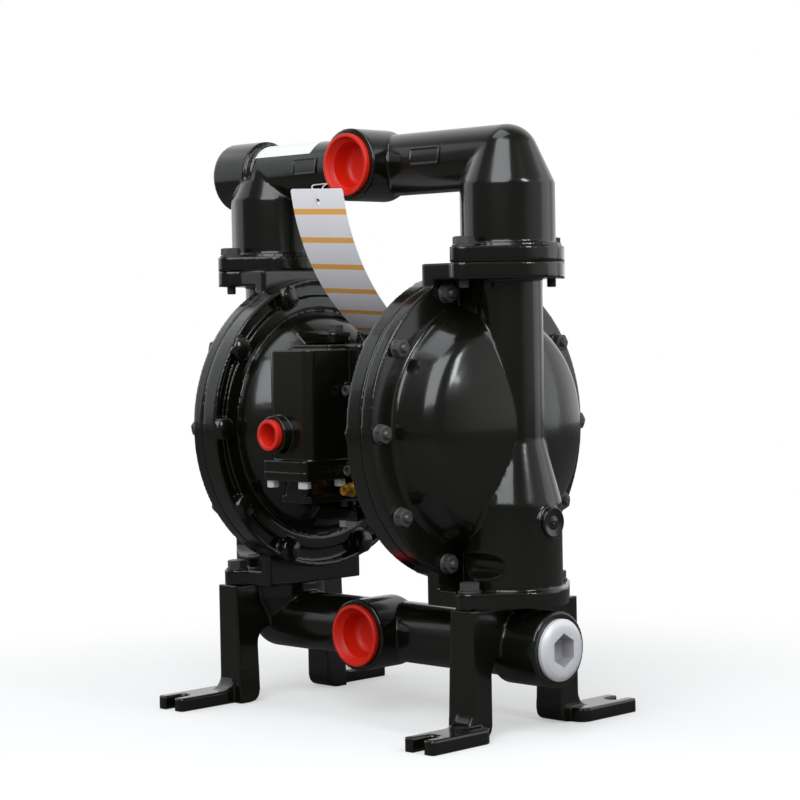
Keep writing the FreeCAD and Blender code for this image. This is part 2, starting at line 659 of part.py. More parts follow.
def port_hub(label, height):
    """Round hub of a port, rounded off behind the pipe."""
    corners = (
        ("-port_reach", "0"),
        ("-port_reach", "port_radius"),
        ("0", "port_radius", "-hub_round"),
        ("hub_round", "port_radius - hub_round"),
        ("hub_round", "0"),
    )
    return turned(label, "y", corners, ("0", "0", height))


def ear_holes(label, radius, depth, height):
    """Bolt holes at the four ears of a level, running up from a height."""
    holes = []
    for number, (side_x, side_y) in enumerate((("-", "-"), ("-", ""), ("", "-"), ("", "")), start=1):
        at = (f"{side_x}column_offset", f"{side_y}ear_offset", height)
        holes.append(rod(f"{label}_{number}", radius, depth, at))
    return holes


def upper_manifold():
    """Outlet casting: two elbows on flanges, the pipe across, the port hub and one end boss."""
    top = ("column_offset", "0", "outlet_joint")
    right = union(
        "outlet_side",
        flange("outlet_flange", "flange_depth", top),
        rod("outlet_pad", "flange_pad_radius", "flange_depth + flange_pad", top),
        elbow("outlet_elbow", "(outlet_height - outlet_joint)", top),
    )
    pipe = rod("outlet_pipe", "pipe_radius", f"2 * {PIPE_END}", (f"-{PIPE_END}", "0", "outlet_height"), "x")
    boss = rod(
        "outlet_end",
        "end_radius",
        "end_reach - end_root",
        ("-end_root", "0", "outlet_height"),
        "-x",
    )
    neck = rod(
        "outlet_end_neck",
        "end_neck_radius",
        "end_root - column_offset",
        ("-column_offset", "0", "outlet_height"),
        "-x",
    )
    casting = union(
        "outlet_casting",
        both("outlet_sides", right),
        pipe,
        boss,
        neck,
        port_hub("outlet_hub", "outlet_height"),
    )
    passage = f"outlet_height - outlet_joint - {CAGE_TOP}"
    hollow = cage("outlet", "outlet_joint", passage)
    return cut(
        "outlet_finished",
        casting,
        hollow,
        mirrored("outlet_cage_left", hollow, (1, 0, 0)),
        rod(
            "outlet_bore",
            "pipe_bore",
            f"{BORE_END} + end_reach",
            ("-end_reach", "0", "outlet_height"),
            "x",
        ),
        rod(
            "outlet_end_thread",
            "port_bore",
            "end_plug_bite + blind_plug_sink",
            ("-end_reach", "0", "outlet_height"),
            "x",
        ),
        rod("outlet_port_way", "rise_bore", "port_reach", ("0", "0", "outlet_height"), "-y"),
        rod("outlet_port_thread", "port_bore", "port_depth", ("0", "-port_reach", "outlet_height"), "y"),
        *ear_holes(
            "outlet_hole",
            "bolt_radius + hole_gap",
            "flange_depth + flange_pad + 1",
            "outlet_joint - 1",
        ),
    )


def foot(label):
    """Foot plate of the front right leg, with its open slot and rounded tips."""
    middle = "(foot_inner + foot_outer) / 2"
    slot_end = "-foot_tip + slot_depth - slot_width / 2"
    corners = (
        ("foot_inner", "-foot_tip + foot_round", "foot_round"),
        ("foot_inner + foot_round", "-foot_tip"),
        (f"{middle} - slot_width / 2", "-foot_tip"),
        (f"{middle} - slot_width / 2", slot_end, "-slot_width / 2"),
        (middle, "-foot_tip + slot_depth", "-slot_width / 2"),
        (f"{middle} + slot_width / 2", slot_end),
        (f"{middle} + slot_width / 2", "-foot_tip"),
        ("foot_outer - foot_round", "-foot_tip", "foot_round"),
        ("foot_outer", "-foot_tip + foot_round"),
        ("foot_outer", "-foot_heel - heel_round", "heel_round"),
        ("foot_outer - heel_round", "-foot_heel"),
        ("foot_inner", "-foot_heel"),
    )
    plate = extruded(f"{label}_plate", "XY_Plane", corners, "foot_depth")
    sweep = (
        ("-leg_half + 2", "foot_depth - 2"),
        ("-leg_half + 2", "foot_depth + foot_fillet"),
        ("-leg_half", "foot_depth + foot_fillet", "-foot_fillet"),
        ("-leg_half - foot_fillet", "foot_depth"),
        ("-leg_half - foot_fillet", "foot_depth - 2"),
    )
    fillet = extruded(
        f"{label}_fillet",
        "YZ_Plane",
        sweep,
        "leg_outer - foot_inner",
        ("foot_inner", "0", "0"),
    )
    return union(label, plate, fillet)


def leg_pair():
    """Legs of the right side: a tapering slab with an arch, standing on two slotted feet."""
    section = (
        ("leg_outer - leg_depth", "inlet_joint"),
        ("leg_outer", "inlet_joint"),
        ("leg_outer", "0"),
        ("leg_outer - leg_depth - leg_draft", "0"),
    )
    slab = extruded("leg_slab", "XZ_Plane", section, "2 * leg_half", ("0", "leg_half", "0"))
    outer = "(arch_half + heel_round)"
    crown = "(arch_half - arch_round)"
    opening = (
        (f"-{outer}", "-1"),
        (f"{outer}", "-1"),
        (f"{outer}", "0", "-heel_round"),
        ("arch_half", "heel_round"),
        ("arch_half", "arch_height - arch_round", "arch_round"),
        (crown, "arch_height"),
        (f"-{crown}", "arch_height", "arch_round"),
        ("-arch_half", "arch_height - arch_round"),
        ("-arch_half", "heel_round", "-heel_round"),
        (f"-{outer}", "0"),
    )
    arch = extruded("leg_arch", "YZ_Plane", opening, "leg_outer", ("1", "0", "0"))
    front = foot("foot")
    return union("legs", cut("leg_frame", slab, arch), front, mirrored("foot_back", front, (0, 1, 0)))


def lower_manifold():
    """Inlet casting: two elbows on leg pairs, the pipe across, the port hub and one end boss."""
    rise = "(inlet_joint - inlet_height)"
    bend = elbow("inlet_elbow", rise, ("column_offset", "0", "inlet_joint"), "-z")
    room = block("inlet_room", ("0", "leg_outer"), ("-leg_half", "leg_half"), ("0", "inlet_joint"))
    right = union("inlet_side", leg_pair(), common("inlet_bend", bend, room))
    pipe = rod("inlet_pipe", "pipe_radius", f"2 * {PIPE_END}", (f"-{PIPE_END}", "0", "inlet_height"), "x")
    boss = rod(
        "inlet_end",
        "end_radius",
        "end_reach - column_offset",
        ("column_offset", "0", "inlet_height"),
        "x",
    )
    casting = union(
        "inlet_casting",
        both("inlet_sides", right),
        pipe,
        boss,
        port_hub("inlet_hub", "inlet_height"),
    )
    thread = "bolt_grip - washer_depth - cap_flange + 2"
    return cut(
        "inlet_finished",
        casting,
        rod(
            "inlet_bore",
            "pipe_bore",
            f"{BORE_END} + end_reach",
            (f"-{BORE_END}", "0", "inlet_height"),
            "x",
        ),
        rod("inlet_end_thread", "port_bore", "end_plug_bite + 1", ("end_reach", "0", "inlet_height"), "-x"),
        rod("inlet_port_way", "rise_bore", "port_reach", ("0", "0", "inlet_height"), "-y"),
        rod("inlet_port_thread", "port_bore", "port_depth", ("0", "-port_reach", "inlet_height"), "y"),
        rod("inlet_rise_right", "rise_bore", f"{rise} + 1", ("column_offset", "0", "inlet_height")),
        rod("inlet_rise_left", "rise_bore", f"{rise} + 1", ("-column_offset", "0", "inlet_height")),
        *ear_holes("inlet_hole", "bolt_radius + thread_gap", f"{thread} + 1", f"inlet_joint - ({thread})"),
    )


node("upper_manifold", upper_manifold())
node("lower_manifold", lower_manifold())


# Studs round a chamber: angles are counted from +Y, upwards
STUD_ANGLES = (
    "0",
    "side_angle",
    "upper_angle",
    "180 - upper_angle",
    "180 - side_angle",
    "180",
    "180 + side_angle",
    "180 + lower_angle",
    "-lower_angle",
    "-side_angle",
)
BESIDE_COLUMN = ("180 + lower_angle", "-lower_angle")


def stud_place(angle, x):
    """Centre of a stud at an angle, at a distance along X."""
    return (x, f"stud_circle * cos({angle})", f"shaft_height + stud_circle * sin({angle})")


def stud_rods(label, radius, start, length, angles=STUD_ANGLES):
    """Rods along X at the places of the studs."""
    return [
        rod(f"{label}_{number}", radius, length, stud_place(angle, start), "x")
        for number, angle in enumerate(angles, start=1)
    ]


# Fluid caps
CROWN_RISE = "(dome_apex - dome_shoulder)"


def crown_radius(edge):
    """Radius of the dome's crown over a shoulder of the given radius."""
    return f"({CROWN_RISE}^2 + ({edge})^2) / (2 * {CROWN_RISE})"


def fluid_cap():
    """Right fluid cap: domed chamber, rim, slim column above, wide ball column below, two flanges."""
    shell = (
        ("cap_parting", "0"),
        ("cap_parting", "rim_radius"),
        ("cap_parting + cap_rim", "rim_radius"),
        ("cap_parting + cap_rim", "dome_foot"),
        ("dome_shoulder", "dome_edge", f"-({crown_radius('dome_edge')})"),
        ("dome_apex", "0"),
    )
    centre = ("0", "0", "shaft_height")
    dome = turned("dome", "x", shell, centre)
    softened(dome, "dome_round", "dome_edge")
    softened(dome, "root_round", "dome_foot")
    column = turned(
        "column",
        "z",
        (
            ("0", "inlet_joint"),
            ("chamber_radius", "inlet_joint"),
            ("chamber_radius", "chamber_top"),
            ("column_radius", "column_start"),
            ("column_radius", "outlet_joint"),
            ("0", "outlet_joint"),
        ),
        ("column_offset", "0", "0"),
    )
    deck = ("cap_parting", "column_offset")
    width = ("-deck_half", "deck_half")
    upper = ("outlet_joint - cap_flange", "outlet_joint")
    lower = ("inlet_joint", "inlet_joint + cap_flange")
    rim = ("cap_parting", "cap_parting + cap_rim")
    chord = "sqrt(rim_radius^2 - deck_half^2)"
    casting = union(
        "cap_casting",
        dome,
        column,
        flange("cap_upper_flange", "cap_flange", ("column_offset", "0", upper[0])),
        flange("cap_lower_flange", "cap_flange", ("column_offset", "0", lower[0])),
        block("cap_upper_deck", deck, width, upper),
        block("cap_lower_deck", deck, width, lower),
        block("cap_upper_skirt", rim, width, (f"shaft_height + {chord} - cap_wall", upper[1])),
        block("cap_lower_skirt", rim, width, (lower[0], f"shaft_height - {chord} + cap_wall")),
        block("cap_web", deck, ("-web_half", "web_half"), ("outlet_joint - web_depth", upper[1])),
        block("cap_lower_web", deck, ("-web_half", "web_half"), (lower[0], "inlet_joint + web_depth")),
        rod(
            "plug_boss",
            "plug_boss",
            "plug_boss_reach - column_offset",
            ("column_offset", "0", "plug_height"),
            "x",
        ),
    )
    cavity = turned(
        "chamber",
        "x",
        (
            ("cap_parting - 1", "0"),
            ("cap_parting - 1", "cap_mouth"),
            ("cap_parting", "cap_mouth"),
            (
                "dome_shoulder - cap_wall",
                "dome_edge - cap_wall",
                f"-({crown_radius('dome_edge - cap_wall')})",
            ),
            ("dome_apex - cap_wall", "0"),
        ),
        centre,
    )
    softened(cavity, "dome_round - cap_wall", "dome_edge - cap_wall")
    passage = f"outlet_joint - inlet_joint - {CAGE_TOP} + 1"
    return cut(
        "cap_finished",
        casting,
        cavity,
        cage("inlet", "inlet_joint", passage),
        rod(
            "plug_hole",
            "plug_shank + thread_gap",
            "plug_shank_depth + 1",
            ("plug_boss_reach", "0", "plug_height"),
            "-x",
        ),
        *stud_rods("cap_hole", "stud_radius + hole_gap", "cap_parting - 1", "cap_rim + 2"),
        *stud_rods("wrench", "wrench_radius", "cap_parting + cap_rim", "column_offset", BESIDE_COLUMN),
        *ear_holes("cap_thread", "bolt_radius + thread_gap", "cap_flange + 2", f"{upper[0]} - 1"),
        *ear_holes("cap_clear", "bolt_radius + hole_gap", "cap_flange + 2", f"{lower[0]} - 1"),
    )


cap = node("fluid_cap_right", fluid_cap())
node("fluid_cap_left", mirrored("cap_left", cap, (1, 0, 0)))


# Air caps
def lug(level):
    """Lug of the right air cap at the front, with a rounded tip over or under the motor body."""
    front = f"-{level}_lug_front"
    back = f"{front} + lug_width"
    tip = f"{level}_lug_start"
    corners = (
        (f"{tip} + lug_round", front),
        ("dish_face", front),
        ("dish_face", back),
        (f"{tip} + lug_round", back, "lug_round"),
        (tip, f"{back} - lug_round"),
        (tip, f"{front} + lug_round", "lug_round"),
    )
    at = ("0", "0", f"{level}_lug_base")
    return extruded(f"{level}_lug", "XY_Plane", corners, f"{level}_lug_depth", at)


def air_cap():
    """Right air cap: dish with neck, rim with stud channel and blind bosses, and four lugs."""
    centre = ("0", "0", "shaft_height")
    shell = (
        ("body_half", "0"),
        ("body_half", "neck_radius"),
        ("body_half + neck_rise", "neck_radius", "-dish_radius"),
        ("dish_face", "dish_edge"),
        ("band_face", "dish_edge + dish_face - band_face"),
        ("band_face", "channel_inner"),
        ("channel_floor", "channel_inner"),
        ("channel_floor", "lip_inner"),
        ("cap_parting - air_rim", "lip_inner"),
        ("cap_parting - air_rim", "rim_radius"),
        ("cap_parting", "rim_radius"),
        ("cap_parting", "0"),
    )
    hollow = (
        ("body_half - 1", "0"),
        ("body_half - 1", "neck_bore"),
        ("body_half + neck_wall", "neck_bore"),
        ("body_half + neck_wall", "neck_radius + neck_rise / 2", "-(dish_radius - air_wall)"),
        ("cap_parting - bead_depth", "cap_mouth"),
        ("cap_parting - bead_depth", "bead_radius"),
        ("cap_parting + 1", "bead_radius"),
        ("cap_parting + 1", "0"),
    )
    boss = (
        ("0", "0"),
        ("0", "stud_boss"),
        (
            "stud_boss_reach - channel_floor",
            "stud_boss",
            "(stud_boss^2 + stud_boss_crown^2) / (2 * stud_boss_crown)",
        ),
        ("stud_boss_reach - channel_floor - stud_boss_crown", "0"),
    )
    bosses = [
        turned(f"stud_boss_{number}", "x", boss, stud_place(angle, "channel_floor"))
        for number, angle in enumerate(STUD_ANGLES, start=1)
    ]
    front = union("front_lugs", lug("upper"), lug("lower"))
    casting = union(
        "air_casting",
        turned("dish", "x", shell, centre),
        *bosses,
        front,
        mirrored("back_lugs", front, (0, 1, 0)),
    )
    return cut(
        "air_finished",
        casting,
        turned("dish_hollow", "x", hollow, centre),
        *stud_rods("air_hole", "stud_radius + thread_gap", "stud_start", "cap_parting - stud_start + 1"),
        *lug_rods(
            "air_upper_hole",
            "upper",
            "lug_bolt_radius + hole_gap",
            "upper_lug_base - 1",
            "upper_lug_depth + 2",
        ),
        *lug_rods(
            "air_lower_hole",
            "lower",
            "lug_bolt_radius + hole_gap",
            "lower_lug_base - 1",
            "lower_lug_depth + 2",
        ),
    )


def lug_rods(label, level, radius, base, length, sides=("",)):
    """Upright rods at the places of the lug bolts of one level."""
    rods = []
    for side_x in sides:
        for side_y in ("-", ""):
            at = (f"{side_x}{level}_lug_bolt", f"{side_y}({level}_lug_front - lug_width / 2)", base)
            rods.append(rod(f"{label}_{len(rods) + 1}", radius, length, at))
    return rods


air = node("air_cap_right", air_cap())
node("air_cap_left", mirrored("air_left", air, (1, 0, 0)))


# Motor body
BODY_FRONT = "-body_front"
LOWER_PAD = "(lower_lug_base + lower_lug_depth)"
SPIGOT_FACE = "(body_half + spigot_depth)"
PILOT_HEIGHT = "(shaft_height - pilot_drop)"
BUSHING_END = f"({SPIGOT_FACE} - ring_depth)"
BLOCK_SCREWS = (
    ("-block_screw_offset", "block_screw_low"),
    ("block_screw_offset", "block_screw_low"),
    ("-block_screw_offset", "block_screw_high"),
    ("block_screw_offset", "block_screw_high"),
)


def block_screw_rods(label, radius, start, length):
    """Rods towards +Y at the places of the valve block screws."""
    return [
        rod(f"{label}_{number}", radius, length, (x, start, z), "y")
        for number, (x, z) in enumerate(BLOCK_SCREWS, start=1)
    ]


def through(label, radius, reach, height):
    """Rod along X through the middle, out to a reach on both sides."""
    return rod(label, radius, f"2 * {reach}", (f"-{reach}", "0", height), "x")


def motor_body():
    """Centre body between the air caps, with spigots, bearing bores, pads and exhaust port."""
    x = "body_half"
    edge = "body_chamfer"
    corners = (
        (f"-{x} + {edge}", BODY_FRONT),
        (f"{x} - {edge}", BODY_FRONT),
        (x, f"{BODY_FRONT} + {edge}"),
        (x, f"body_back - {edge}"),
        (f"{x} - {edge}", "body_back"),
        (f"-{x} + {edge}", "body_back"),
        (f"-{x}", f"body_back - {edge}"),
        (f"-{x}", f"{BODY_FRONT} + {edge}"),
    )
    casting = union(
        "motor_casting",
        extruded("motor_block", "XY_Plane", corners, "body_top - body_base", ("0", "0", "body_base")),
        through("spigots", "spigot_radius", SPIGOT_FACE, "shaft_height"),
        rod(
            "exhaust_boss",
            "exhaust_boss",
            "exhaust_boss_depth",
            ("0", "body_back", "exhaust_height"),
            "y",
        ),
        *lug_rods("motor_pad", "upper", "body_pad_radius", "body_top", "body_pad", ("-", "")),
        *lug_rods(
            "motor_foot",
            "lower",
            "body_pad_radius",
            LOWER_PAD,
            f"body_base - {LOWER_PAD}",
            ("-", ""),
        ),
    )
    bush = f"({SPIGOT_FACE} - ring_depth - bushing_depth)"
    bite = "lug_bolt_radius + thread_gap"
    return cut(
        "motor_finished",
        casting,
        through("shaft_tunnel", "shaft_tunnel", SPIGOT_FACE, "shaft_height"),
        *[
            rod(
                f"bushing_seat_{side}",
                "bushing_radius",
                "bushing_depth",
                (f"{sign}{bush}", "0", "shaft_height"),
                f"{sign}x",
            )
            for side, sign in (("left", "-"), ("right", ""))
        ],
        *[
            rod(
                f"ring_seat_{side}",
                "ring_radius",
                "ring_depth",
                (f"{sign}{BUSHING_END}", "0", "shaft_height"),
                f"{sign}x",
            )
            for side, sign in (("left", "-"), ("right", ""))
        ],
        through("pilot_tunnel", "pilot_radius + hole_gap", SPIGOT_FACE, PILOT_HEIGHT),
        *[
            rod(
                f"pilot_seat_{side}",
                "pilot_bush",
                "pilot_bush_depth",
                (f"{sign}{SPIGOT_FACE}", "0", PILOT_HEIGHT),
                f"{back}x",
            )
            for side, sign, back in (("left", "-", ""), ("right", "", "-"))
        ],
        rod(
            "exhaust_bore",
            "exhaust_radius",
            "exhaust_depth",
            ("0", "body_back + exhaust_boss_depth", "exhaust_height"),
            "-y",
        ),
        rod(
            "fitting_hole",
            "fitting_thread + thread_gap",
            "fitting_bite + 1",
            ("fitting_offset", BODY_FRONT, "fitting_height"),
            "y",
        ),
        *block_screw_rods(
            "motor_screw_hole",
            "block_screw_radius + thread_gap",
            BODY_FRONT,
            "block_screw_bite + 1",
        ),
        *lug_rods(
            "motor_upper_hole",
            "upper",
            bite,
            "body_top + body_pad - lug_bolt_bite - 1",
            "lug_bolt_bite + 2",
            ("-", ""),
        ),
        *lug_rods("motor_lower_hole", "lower", bite, f"{LOWER_PAD} - 1", "lug_bolt_bite + 2", ("-", "")),
    )


node("motor_body", motor_body())


# Valve block
BLOCK_BACK = "-(body_front + gasket_depth)"
PLATE_FRONT = f"({BLOCK_BACK} - plate_depth)"
BASE_LOW = "(block_base - base_depth)"


def rounded_front(label, half, front, back, rounding, depth, base):
    """Upright block against the motor body, with rounded front corners."""
    corners = (
        (f"-{half}", back),
        (f"-{half}", f"-{front} + {rounding}", rounding),
        (f"-{half} + {rounding}", f"-{front}"),
        (f"{half} - {rounding}", f"-{front}", rounding),
        (half, f"-{front} + {rounding}"),
        (half, back),
    )
    return extruded(label, "XY_Plane", corners, depth, ("0", "0", base))


def valve_block():
    """Valve block with spool bore, valve window, air inlet boss, base flange and screw ears."""
    ears = []
    for height in ("block_screw_low", "block_screw_high"):
        side = height.removeprefix("block_screw_")
        back = (f"{BLOCK_BACK} - lug_plate", BLOCK_BACK)
        span = ("-block_screw_offset", "block_screw_offset")
        ears.append(
            block(
                f"ear_{side}",
                span,
                back,
                (f"{height} - block_ear_radius", f"{height} + block_ear_radius"),
            ),
        )
    ends = block_screw_rods("ear_end", "block_ear_radius", f"{BLOCK_BACK} - lug_plate", "lug_plate")
    relief = block(
        "ear_relief",
        ("-base_half - hole_gap", "base_half + hole_gap"),
        ("-base_front", "0"),
        ("ear_base - base_depth", BASE_LOW),
    )
    inlet = ("inlet_offset", "-block_front + inlet_rib", "air_inlet_height")
    casting = union(
        "valve_casting",
        rounded_front(
            "valve_column",
            "block_half",
            "block_front",
            BLOCK_BACK,
            "block_round",
            "block_top - block_base",
            "block_base",
        ),
        rounded_front(
            "valve_pad",
            "block_pad_half",
            "block_pad_front",
            BLOCK_BACK,
            "block_pad_round",
            "block_pad_rise + 1",
            "block_top - 1",
        ),
        rounded_front(
            "valve_base",
            "base_half",
            "base_front",
            BLOCK_BACK,
            "base_round",
            "base_depth",
            BASE_LOW,
        ),
        cut("ears", union("ear_plates", *ears, *ends), relief),
        rod("inlet_boss", "inlet_boss", "inlet_face - block_front + inlet_rib", inlet, "-y"),
    )
    spool = ("0", "-spool_place", BASE_LOW)
    window = ("waist_low - insert_gap", "waist_low + waist_length + spool_travel + insert_gap")
    return cut(
        "valve_finished",
        casting,
        rod("spool_bore", "spool_bore", f"bore_top - {BASE_LOW}", spool),
        rod(
            "inlet_thread",
            "inlet_bore",
            "inlet_depth",
            ("inlet_offset", "-inlet_face", "air_inlet_height"),
            "y",
        ),
        rod(
            "inlet_way",
            "inlet_bore / 2",
            "inlet_face - spool_place - inlet_rib",
            ("inlet_offset / 2", "-inlet_face + inlet_rib", "air_inlet_height"),
            "y",
        ),
        block(
            "plate_pocket",
            ("-plate_half", "plate_half"),
            (PLATE_FRONT, BLOCK_BACK),
            ("plate_low", "plate_high"),
        ),
        block(
            "window",
            ("-insert_half - insert_gap", "insert_half + insert_gap"),
            ("-spool_place", PLATE_FRONT),
            window,
        ),
        *block_screw_rods(
            "ear_hole",
            "block_screw_radius + hole_gap",
            f"{BLOCK_BACK} - lug_plate - 1",
            "lug_plate + 2",
        ),
        *end_screw_rods("base_hole", "end_screw_radius + thread_gap", BASE_LOW, "end_screw_bite + 1"),
    )


END_SCREWS = (
    ("-end_screw_offset", "-end_screw_front"),
    ("end_screw_offset", "-end_screw_front"),
    ("-end_screw_offset", "-end_screw_back"),
    ("end_screw_offset", "-end_screw_back"),
)


def end_screw_rods(label, radius, base, length):
    """Upright rods at the places of the end cap screws."""
    return [
        rod(f"{label}_{number}", radius, length, (x, y, base))
        for number, (x, y) in enumerate(END_SCREWS, start=1)
    ]


def valve_end_cap():
    """Lower end cap of the valve block: a screwed plate, a rounded body and a wider foot."""
    back = "-end_cap_back"
    casting = union(
        "end_casting",
        rounded_front(
            "end_plate",
            "base_half",
            "base_front",
            back,
            "base_round",
            f"{BASE_LOW} - ear_base",
            "ear_base",
        ),
        rounded_front(
            "end_body",
            "end_cap_half",
            "end_cap_front",
            back,
            "end_cap_round",
            "ear_base - end_cap_base + 1",
            "end_cap_base",
        ),
        rounded_front(
            "end_foot",
            "end_foot_half",
            "end_cap_front",
            back,
            "end_cap_round",
            "end_cap_foot",
            "end_cap_base",
        ),
    )
    return cut(
        "end_finished",
        casting,
        rod("end_bore", "spool_waist", f"{BASE_LOW} - ear_base + 1", ("0", "-spool_place", "ear_base")),
        *end_screw_rods(
            "end_hole",
            "end_screw_radius + hole_gap",
            "ear_base - 1",
            f"{BASE_LOW} - ear_base + 2",
        ),
    )


node("valve_block", valve_block())
node("valve_end_cap", valve_end_cap())
gasket_corners = (
    ("-block_half", "block_base"),
    ("block_half", "block_base"),
    ("block_half", "block_top"),
    ("-block_half", "block_top"),
)
gasket_sheet = extruded("gasket_sheet", "XZ_Plane", gasket_corners, "gasket_depth", ("0", BODY_FRONT, "0"))
node("valve_gasket", gasket_sheet)


# Fasteners
def pair_of(label, right):
    """A group on the right side and its mirror image on the left."""
    return group(label, right, mirrored(f"{label}_left", right, (1, 0, 0)))


NUT_FACE = "(cap_parting + cap_rim)"
stud_length = f"{NUT_FACE} + nut_depth + stud_tip - stud_start"
studs = group("studs_right", *stud_rods("stud", "stud_radius", "stud_start", stud_length))
node("chamber_studs", pair_of("studs", studs))


def flange_nut(label, angle):
    """Flange nut on the outside of the right fluid cap."""
    at = stud_place(angle, NUT_FACE)
    body = union(
        f"{label}_body",
        hexagon(f"{label}_hexagon", "nut_width", "nut_depth", at, "x"),
        rod(f"{label}_flange", "nut_flange", "nut_flange_depth", at, "x"),
    )
    return cut(label, body, rod(f"{label}_thread", "stud_radius + thread_gap", "nut_depth", at, "x"))


nuts = [flange_nut(f"nut_{number}", angle) for number, angle in enumerate(STUD_ANGLES, start=1)]
node("chamber_nuts", pair_of("nuts", group("nuts_right", *nuts)))


def hex_bolt(label, at, turn, across, head, radius, length):
    """Hex head bolt: its head stands on a face and its shank runs the other way."""
    back = {"z": "-z", "-z": "z"}[turn]
    return union(
        label,
        hexagon(f"{label}_head", across, head, at, turn),
        rod(f"{label}_shank", radius, length, at, back),
    )


def joint_bolts(label, base):
    """Right side's two joint bolts, with heads above their washers."""
    seat = f"{base} + washer_depth"
    bolts = []
    washers = []
    for side, sign in (("front", "-"), ("back", "")):
        at = ("column_offset", f"{sign}ear_offset", seat)
        low = ("column_offset", f"{sign}ear_offset", base)
        bolts.append(
            hex_bolt(f"{label}_{side}", at, "z", "bolt_width", "bolt_head", "bolt_radius", "bolt_grip"),
        )
        washers.append(
            ring(
                f"{label}_washer_{side}",
                "washer_radius",
                "bolt_radius + thread_gap",
                "washer_depth",
                low,
            ),
        )
    return group(f"{label}_bolts", *bolts), group(f"{label}_washers", *washers)


upper_bolts, upper_washers = joint_bolts("upper_joint", "outlet_joint + flange_depth")
lower_bolts, lower_washers = joint_bolts("lower_joint", "inlet_joint + cap_flange")
node("outlet_bolts", pair_of("outlet_bolt_set", upper_bolts))
node("outlet_washers", pair_of("outlet_washer_set", upper_washers))
node("inlet_bolts", pair_of("inlet_bolt_set", lower_bolts))
node("inlet_washers", pair_of("inlet_washer_set", lower_washers))


def lug_bolts(level, base, turn, grip):
    """Right side's two lug bolts of one level."""
    bolts = []
    for side, sign in (("front", "-"), ("back", "")):
        at = (f"{level}_lug_bolt", f"{sign}({level}_lug_front - lug_width / 2)", base)
        name = f"{level}_lug_bolt_{side}"
        bolts.append(hex_bolt(name, at, turn, "lug_bolt_width", "lug_bolt_head", "lug_bolt_radius", grip))
    return pair_of(f"{level}_lug_bolts", group(f"{level}_lug_bolts_right", *bolts))


upper_grip = "upper_lug_base + upper_lug_depth - body_top - body_pad + lug_bolt_bite"
lower_grip = "lower_lug_depth + lug_bolt_bite"
node("upper_lug_bolts", lug_bolts("upper", "upper_lug_base + upper_lug_depth", "z", upper_grip))
node("lower_lug_bolts", lug_bolts("lower", "lower_lug_base", "-z", lower_grip))


def socket_screw(number, x, z):
    """Socket head screw that holds the valve block to the motor body."""
    face = f"{BLOCK_BACK} - lug_plate"
    label = f"block_screw_{number}"
    solid = union(
        f"{label}_body",
        rod(f"{label}_head", "block_screw_head", "block_screw_depth", (x, face, z), "-y"),
        rod(
            f"{label}_shank",
            "block_screw_radius",
            "lug_plate + gasket_depth + block_screw_bite",
            (x, face, z),
            "y",
        ),
    )
    top = (x, f"{face} - block_screw_depth", z)
    return cut(label, solid, hexagon(f"{label}_socket", "socket_width", "block_screw_depth / 2", top, "y"))


block_screws = [socket_screw(number, x, z) for number, (x, z) in enumerate(BLOCK_SCREWS, start=1)]
node("valve_block_screws", group("block_screws", *block_screws))
end_screws = [
    hex_bolt(
        f"end_screw_{number}",
        (x, y, "ear_base"),
        "-z",
        "end_screw_width",
        "end_screw_head",
        "end_screw_radius",
        f"{BASE_LOW} - ear_base + end_screw_bite",
    )
    for number, (x, y) in enumerate(END_SCREWS, start=1)
]
node("end_cap_screws", group("end_screws", *end_screws))


def brass_fitting():
    """Brass muffler fitting on the front of the motor body, with an open mouth."""
    start = ("fitting_offset", BODY_FRONT, "fitting_height")
    collar = ("fitting_offset", f"{BODY_FRONT} - fitting_hex", "fitting_height")
    nose = ("fitting_offset", f"{BODY_FRONT} - fitting_hex - fitting_ring_depth", "fitting_height")
    tip = ("fitting_offset", f"{nose[1]} - fitting_nose_depth", "fitting_height")
    solid = union(
        "fitting_body",
        rod("fitting_thread", "fitting_thread", "fitting_bite", start, "y"),
        hexagon("fitting_hexagon", "fitting_width", "fitting_hex", start, "-y"),
        rod("fitting_collar", "fitting_ring", "fitting_ring_depth", collar, "-y"),
        taper(
            "fitting_nose",
            "fitting_nose + fitting_nose_taper",
            "fitting_nose",
            "fitting_nose_depth",
            nose,
            "-y",
        ),
    )
    return cut(
        "fitting",
        solid,
        taper("fitting_mouth", "fitting_mouth", "fitting_mouth - 1", "fitting_mouth_depth", tip, "y"),
    )


node("brass_fitting", brass_fitting())


# Plugs
def end_plug():
    """Shouldered hex-socket plug in the lower manifold's end boss."""
    face = ("end_reach", "0", "inlet_height")
    top = ("end_reach + end_plug_rise", "0", "inlet_height")
    collar = turned(
        "end_plug_collar",
        "x",
        (
            ("0", "0"),
            ("0", "end_plug_radius"),
            ("end_plug_rise - end_plug_chamfer", "end_plug_radius"),
            ("end_plug_rise", "end_plug_radius - end_plug_chamfer"),
            ("end_plug_rise", "0"),
        ),
        face,
    )
    solid = union(
        "end_plug_body",
        collar,
        rod("end_plug_thread", "port_bore - thread_gap", "end_plug_bite", face, "-x"),
    )
    return cut("end_plug", solid, hexagon("end_plug_socket", "end_plug_socket", "end_plug_hole", top, "-x"))


def blind_plug():
    """Recessed hex-socket plug in the upper manifold's end boss."""
    face = ("-end_reach + blind_plug_sink", "0", "outlet_height")
    solid = rod("blind_plug_body", "port_bore - thread_gap", "end_plug_bite", face, "x")
    return cut(
        "blind_plug",
        solid,
        hexagon("blind_plug_socket", "blind_plug_socket", "end_plug_hole", face, "x"),
    )


